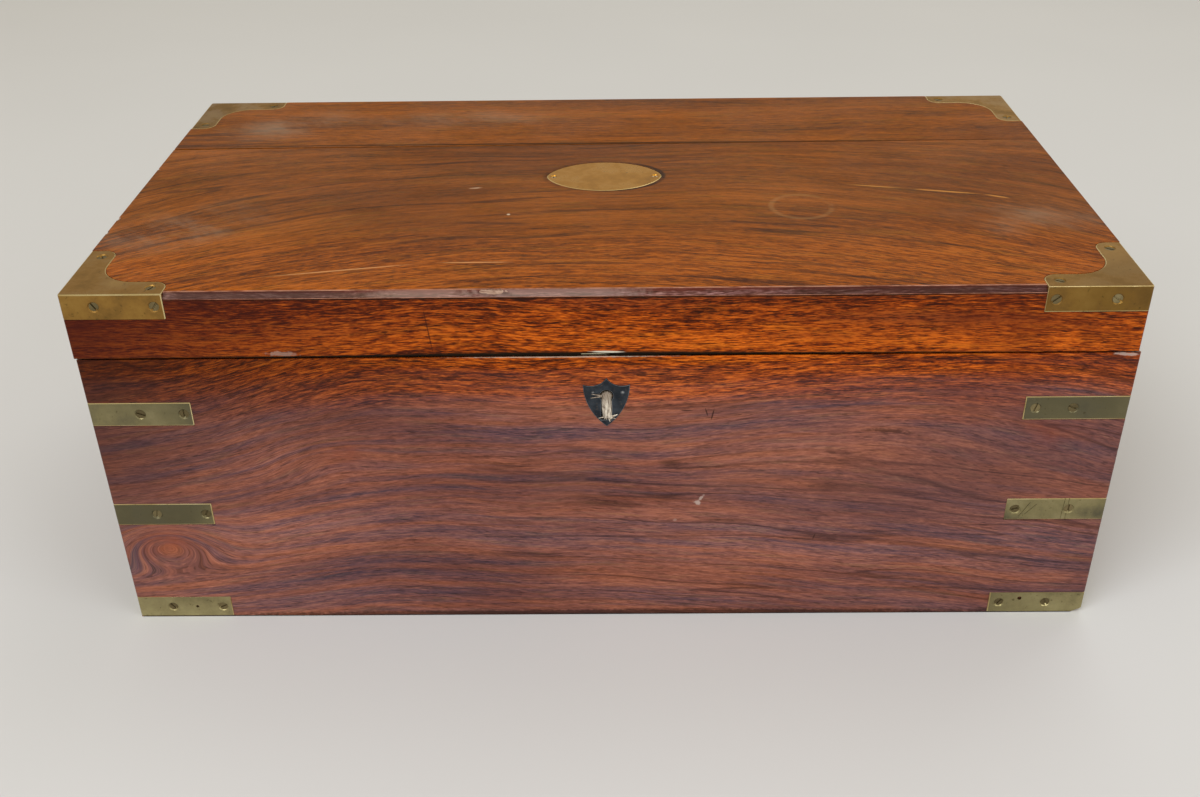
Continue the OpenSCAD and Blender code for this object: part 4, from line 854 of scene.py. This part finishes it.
def set_screws(node, finish, dice):
    """Drives a screw into each place of a node, each slot turned as a hand left it."""
    places = screw_places(node)
    samples = {}
    copies = []
    for centre, out, radius in places:
        size = round(radius, 4)
        if size not in samples:
            samples[size] = slotted_screw(size - 0.1 * MM, finish)
        mesh = samples[size].data.copy()
        turn = Matrix.Rotation(dice.uniform(0, math.pi), 4, "Z")
        sunk = dice.uniform(0.05, 0.2) * MM
        facing = out.to_track_quat("Z", "Y").to_matrix().to_4x4()
        mesh.transform(Matrix.Translation(centre - out * sunk) @ facing @ turn)
        copies.append(bpy.data.objects.new("screw", mesh))
        bpy.context.scene.collection.objects.link(copies[-1])
    for sample in samples.values():
        bpy.data.objects.remove(sample)
    select_only(copies[0])
    for copy in copies:
        copy.select_set(True)
    bpy.ops.object.join()
    group = bpy.context.object
    group.name = "finished_" + node
    smooth(group)
    place_on(group, body_of(node), "aged_brass", node)


def clear_of_screws(*nodes):
    """A test that is False for edges round the screw holes of these nodes' screws."""
    centres = [(c, r) for node in nodes for c, _, r in screw_places(node)]

    def keep(a, b):
        point = (a + b) / 2
        return all((point - c).length > r + 0.9 * MM for c, r in centres)

    return keep


# Brass mounts

def pin_hole(piece, x, z, radius):
    """An old pin hole, straight into the front of a strap."""
    bpy.ops.object.select_all(action="DESELECT")
    bpy.ops.mesh.primitive_cylinder_add(vertices=20, radius=radius, depth=3 * MM, location=(x, FRONT_Y, z),
                                        rotation=(math.pi / 2, 0, 0))
    drill = bpy.context.object
    bpy.ops.object.transform_apply(location=True, rotation=True, scale=True)
    cut_out(piece, drill)


def scored_line(piece, x, z, length, lean):
    """A knife line scored into the front of a strap, leaning by an angle."""
    bpy.ops.object.select_all(action="DESELECT")
    bpy.ops.mesh.primitive_cube_add(size=1, location=(x, FRONT_Y - 0.2 * MM, z), rotation=(0, lean, 0),
                                    scale=(0.3 * MM, 0.9 * MM, length))
    blade = bpy.context.object
    bpy.ops.object.transform_apply(location=True, rotation=True, scale=True)
    cut_out(piece, blade)


def brass_mounts():
    """The screws, the corner brasses and straps with their scars, the handles and the hinges.
    Corners, handles and hinges are brown with age, the straps grey green, and the feet pale
    and scuffed."""
    aged = brass("brass_aged", clean="#936f36", dull="#664c20", rubbed="#aa8648")
    grey = brass("brass_oxidised", clean="#8a815c", dull="#565240", rubbed="#a89d76", seed=21.0, film=0.8)
    feet = brass("brass_scuffed", clean="#a59a70", dull="#6f6848", rubbed="#c6bb8c", seed=27.0, film=0.6)
    rubbed = brass("brass_rubbed_edges", clean="#ccb680", dull="#a28c58", rubbed="#e6d6a8", seed=3.0,
                   rough=(0.24, 0.4), film=0.15)
    worn_screw = brass("brass_screw_heads", clean="#7f7150", dull="#51482f", rubbed="#9b8d68", seed=5.0)
    # The name plate's screws are a pale, whitish brass.
    plate_screw = brass("brass_screws_pale", clean="#d8d2c0", dull="#8c8474", rubbed="#f0ece0", seed=6.0,
                        rough=(0.2, 0.36), film=0.2)
    dice = random.Random(3)
    set_screws("base_screws", worn_screw, dice)
    set_screws("lid_screws", worn_screw, dice)
    set_screws("name_plate_screws", plate_screw, dice)

    straps = [f"strap_front_{side}_{height}" for side in ("left", "right")
              for height in ("bottom", "middle", "top")]
    straps += ["straps_back_left", "straps_back_right", "lid_strap_left", "lid_strap_right"]
    corners = [f"lid_corner_{end}_{side}" for end in ("front", "back") for side in ("left", "right")]
    plates = ["handle_plate_left", "handle_plate_right", "base_hinge_leaf_left", "base_hinge_leaf_right",
              "lid_hinge_leaf_left", "lid_hinge_leaf_right"]
    finishes = {node: feet if node.endswith("bottom") else grey for node in straps}
    plain_rims = clear_of_screws("base_screws", "lid_screws")
    pieces = {}
    for node in straps + corners + plates:
        finish = finishes.get(node, aged)
        pieces[node] = dressed(node, "aged_brass", finish, rubbed, 0.55 * MM, keep=plain_rims)
    for node in ("bail_left", "bail_right", "hinge_pins"):
        dressed(node, "aged_brass", aged, rubbed, 0.1 * MM, angle=80.0)

    # Old pin holes in the feet, the worn right foot, and knife lines on the right middle strap
    pin_hole(pieces["strap_front_left_bottom"], -HALF_W + 31 * MM, 6.9 * MM, 0.8 * MM)
    pin_hole(pieces["strap_front_right_bottom"], HALF_W - 33.5 * MM, 9.5 * MM, 1.1 * MM)
    wear_foot(pieces["strap_front_right_bottom"])
    scored, level = pieces["strap_front_right_middle"], middle("strap_front_right_middle").z
    for inset, length, lean in (
            (18.7, 20, 0.03), (20.9, 20, 0.05), (40, 10, 0.5), (42, 9, -0.4), (37, 8, 0.7)):
        scored_line(scored, HALF_W - inset * MM, level, length * MM, lean)


# Fittings of the front

def front_fittings():
    """The escutcheon, the oval plate and the lock."""
    blued = steel("steel_blued", "#434a52", "#292e35", "#54402f")
    edge = steel("steel_rubbed_edges", "#7a8088", "#50565e", "#5a3c28", seed=2.0)
    bright = steel("steel_bright", "#a0a2a5", "#6c6e72", "#6a4028", seed=7.0)
    dressed("escutcheon", "blackened_steel", blued, edge, 0.25 * MM)
    dressed("escutcheon_pins", "blackened_steel", bright, bright, 0.2 * MM)

    plate = brass("brass_plate", clean="#bb8733", dull="#986b26", rubbed="#cf9d48", seed=8.0,
                  rough=(0.26, 0.4), film=0.1)
    # The plate's pale rim is partly rubbed brass and partly a painted highlight.
    rim = brass("brass_plate_rim", clean="#e6cc90", dull="#c8a964", rubbed="#f6e6ba", seed=9.0,
                rough=(0.2, 0.3), film=0.0)
    dressed("name_plate", "bright_brass", plate, rim, 0.5 * MM, 3, keep=clear_of_screws("name_plate_screws"))

    lock = brass("brass_lock", clean="#96804a", dull="#6b5a34", rubbed="#b39c66", seed=12.0)
    worn = brass("brass_link_plate", clean="#bcb190", dull="#948a6c", rubbed="#ded5b8", seed=13.0, film=0.1)
    # A pale brass for the link plate's front face, which is a painted highlight.
    painted_glint_brass = brass("brass_link_plate_front", clean="#e2dcc4", dull="#c8c0a4", rubbed="#f0ead6", seed=17.0,
                  film=1.0)
    dressed("lock_case", "bright_brass", lock, rim, 0.2 * MM)
    dressed("lock_face_plate", "bright_brass", lock, rim, 0.2 * MM)
    link = dressed("link_plate", "bright_brass", worn, rim, 0.2 * MM)
    # The front face of the link plate takes the painted highlight.
    repaint(link, painted_glint_brass, lambda face: face.normal.y < -0.9 and face.center.y < FRONT_Y + 2 * MM)
    dressed("lock_bolt", "bright_steel", bright, bright, 0.2 * MM)


def keyhole_fibres():
    """The pale tongue of torn wood that hangs in the keyhole, with its frayed ends."""
    head_z, foot_z, head_half, slot_half = 0.1377, 0.1228, 2.9 * MM, 2.35 * MM
    columns, rows = 14, 36
    dice = random.Random(9)
    frayed = [dice.uniform(0, 1.6) * MM for _ in range(columns + 1)]

    bpy.ops.object.select_all(action="DESELECT")
    bpy.ops.mesh.primitive_grid_add(x_subdivisions=columns, y_subdivisions=rows, size=2, location=(0, 0, 0))
    tongue = bpy.context.object
    for vertex in tongue.data.vertices:
        # The head is round over the first sixth, and the foot frays over the last seventh
        across, down = vertex.co.x, (1 - vertex.co.y) / 2
        head = max(0.0, 1 - down / 0.17)
        half = slot_half + (head_half - slot_half) * max(0.0, 1 - down / 0.34)
        half *= math.sqrt(max(0.0, 1 - head ** 2)) * 0.98 + 0.02
        fold = 0.3 * math.sin(7 * across + 9 * down) + 0.2 * math.sin(21 * down - 4 * across)
        fray = frayed[round((across + 1) / 2 * columns)] * max(0, down - 0.86) / 0.14
        vertex.co = (across * half + 0.9 * MM * down ** 3 + dice.uniform(-0.05, 0.05) * MM,
                     FRONT_Y - 0.35 * MM + (1.3 * across ** 4 + fold * 0.8 + 1.6 * head ** 2) * MM,
                     head_z + (foot_z - head_z) * down + fray)
    bpy.ops.object.modifier_add(type="SOLIDIFY")
    tongue.modifiers[-1].thickness = 0.5 * MM
    tongue.modifiers[-1].offset = 0
    finish_modifiers(tongue)

    # Loose strands, from one (x, z) to another, and their radius, all in mm
    parts = [tongue]
    for start, end, radius in (((-2.2, 136.3), (-7.2, 137.4), 0.32), ((-2.2, 135.9), (-7.5, 135.2), 0.36),
                               ((-1.6, 124.2), (-3.9, 123.9), 0.3), ((2.6, 124.6), (5.2, 125.9), 0.5),
                               ((2.2, 124.0), (4.2, 123.6), 0.34), ((1.2, 123.4), (1.6, 121.6), 0.4)):
        ends = [Vector((x * MM, FRONT_Y - (0.75 if abs(x) > 3 else 0.4) * MM, z * MM))
                for x, z in (start, end)]
        run = ends[1] - ends[0]
        bpy.ops.object.select_all(action="DESELECT")
        bpy.ops.mesh.primitive_cone_add(vertices=10, radius1=radius * MM, radius2=0.45 * radius * MM,
                                        depth=run.length, location=(ends[0] + ends[1]) / 2,
                                        rotation=run.to_track_quat("Z", "Y").to_euler())
        parts.append(bpy.context.object)
    for part in parts:
        part.select_set(True)
    bpy.context.view_layer.objects.active = tongue
    bpy.ops.object.join()
    bpy.ops.object.transform_apply(location=True, rotation=True, scale=True)
    tongue.name = "keyhole_torn_fibres"
    tongue.data.materials.append(torn_fibre())
    smooth(tongue, 60)
    place_on(tongue, body_of("base_front"), "mahogany")


# Inside

def inside_woodwork():
    """The partitions, floor, tray and ledges of mahogany, and the flaps with their leather."""
    lining = mahogany("mahogany_lining")
    cross_lining = mahogany("mahogany_cross", turn=math.pi / 2, seed=3.0)
    worn_lining = mahogany("mahogany_edges", seed=6.0)
    flap_wood = rosewood("rosewood_flaps", axes="XYZ", seed=21.0, tones=("#32161a", "#68301f", "#945030"))
    flap_edge = rosewood("rosewood_flap_edges", axes="XYZ", seed=23.0,
                         tones=("#4a2018", "#7a3b22", "#a8643a"), rub=0.3, gloss=0.42)
    for node in ("well_partition", "compartment_floor", "base_bottom", "pen_tray", "base_flap_ledges",
                 "lid_flap_ledges"):
        dressed(node, "mahogany", lining, worn_lining, 0.3 * MM)
    dressed("ink_dividers", "mahogany", cross_lining, worn_lining, 0.3 * MM)
    for flap in ("base_flap", "lid_flap"):
        dressed(flap, "rosewood", flap_wood, flap_edge, 0.4 * MM)
        hide = tooled_leather(flap + "_leather")
        dressed(flap + "_leather", "leather", hide, hide, 0.2 * MM)


def inkwells():
    """The two glass wells with their collars and caps."""
    glass = ink_glass()
    caps = brass("brass_caps", clean="#a08246", dull="#7c6434", rubbed="#bb9c60", seed=14.0,
                 rough=(0.22, 0.4), film=0.2)
    rims = brass("brass_cap_rims", clean="#b8985a", dull="#94783e", rubbed="#cfb27a", seed=15.0,
                 rough=(0.2, 0.35), film=0.1)
    dressed("inkwells", "glass", glass, glass, 0.6 * MM, 3)
    for node in ("inkwell_collars", "inkwell_cap_left", "inkwell_cap_right"):
        dressed(node, "bright_brass", caps, rims, 0.2 * MM)


def flap_pins():
    """The pivot pins of the two flaps."""
    pins = brass("brass_pins", seed=16.0)
    for node in ("base_flap_pins", "lid_flap_pins"):
        dressed(node, "bright_brass", pins, pins, 0.2 * MM)


# The pieces

wooden_boards()
brass_mounts()
front_fittings()
keyhole_fibres()
inside_woodwork()
inkwells()
flap_pins()


# Camera, floor and light

def turned(azimuth, elevation, roll):
    """Rotation of a camera that looks along +Y at azimuth 0 and down by the elevation."""
    a, e, t = (math.radians(v) for v in (azimuth, elevation, roll))
    ahead = Vector((-math.sin(a) * math.cos(e), math.cos(a) * math.cos(e), -math.sin(e)))
    side = Vector((math.cos(a), math.sin(a), 0))
    up = side.cross(ahead)
    right = math.cos(t) * side + math.sin(t) * up
    above = -math.sin(t) * side + math.cos(t) * up
    return Matrix((right, above, -ahead)).transposed()


def camera():
    """The photograph's viewpoint: just over half a metre in front of the box and above it."""
    place = (0.0043, -0.661, 0.4553)
    data = bpy.data.cameras.new("camera")
    data.sensor_width = 36
    data.lens = 38.66
    view = bpy.data.objects.new("camera", data)
    bpy.context.scene.collection.objects.link(view)
    view.matrix_world = Matrix.Translation(place) @ turned(0.809, 31.375, -0.836).to_4x4()
    bpy.context.scene.camera = view


def eye_rays(add):
    """1 for what the eye sees, straight or in gloss and glass, and 0 for the light on things."""
    mirrored = add("Math", add("LightPath", output="Is Glossy Ray"),
                   add("LightPath", output="Is Transmission Ray"), operation="MAXIMUM")
    return add("Math", add("LightPath", output="Is Camera Ray"), mirrored, operation="MAXIMUM")


def paper_floor(backdrop):
    """A floor of matt grey paper, a little cloudy. From 1.4 m off, what the eye sees of it goes
    over into the backdrop, so that no horizon shows."""
    bpy.ops.mesh.primitive_plane_add(size=14, location=(0, 0, 0))
    floor = bpy.context.object
    floor.name = "floor"
    material, add, place = new_material("floor_paper")
    colour = add("Mix", pattern(add, place, (3, 3, 3), 2.0), "#d2d6dd", "#d8dce3", data_type="RGBA")
    paper = add("BsdfPrincipled", named={"Base Color": colour, "Roughness": 0.9})
    away = add("VectorMath", place, operation="LENGTH")
    far = add("MapRange", away, 1.4, 3.6, interpolation_type="SMOOTHSTEP")
    far = add("Math", far, eye_rays(add), operation="MULTIPLY")
    add("OutputMaterial", add("MixShader", far, paper, add("Emission", backdrop, 1.0)))
    floor.data.materials.append(material)


def lamps():
    """One large soft lamp high at the left front, and weaker ones at the right and back, all
    turned to the middle of the box."""
    target = Vector((0, 0, 0.1))
    for name, spot, size, watts in (("key", (-1.1, -1.5, 2.1), 1.6, 38),
                                    ("fill", (1.7, -1.3, 1.2), 1.4, 13),
                                    ("rear", (0.9, 1.3, 2.5), 1.6, 12)):
        data = bpy.data.lights.new(name, "AREA")
        data.size = size
        data.energy = watts
        lamp = bpy.data.objects.new(name, data)
        bpy.context.scene.collection.objects.link(lamp)
        lamp.location = spot
        lamp.rotation_euler = (target - Vector(spot)).to_track_quat("-Z", "Y").to_euler()


def surroundings(backdrop):
    """Dim warm light from all round. What the eye sees of it is the pale backdrop."""
    world = bpy.data.worlds.new("studio")
    bpy.context.scene.world = world
    world.use_nodes = True
    world.node_tree.nodes.clear()
    add = functools.partial(add_node, world.node_tree)
    light = add("Background", "#f4e4c4", 0.56)
    seen = add("Background", backdrop, 1.0)
    add("OutputWorld", add("MixShader", eye_rays(add), light, seen))


def studio():
    """Floor, lamps and surroundings, with colours shown as they are written."""
    backdrop = "#cfc8b9"
    paper_floor(backdrop)
    lamps()
    surroundings(backdrop)
    bpy.context.scene.view_settings.view_transform = "Standard"


camera()
studio()
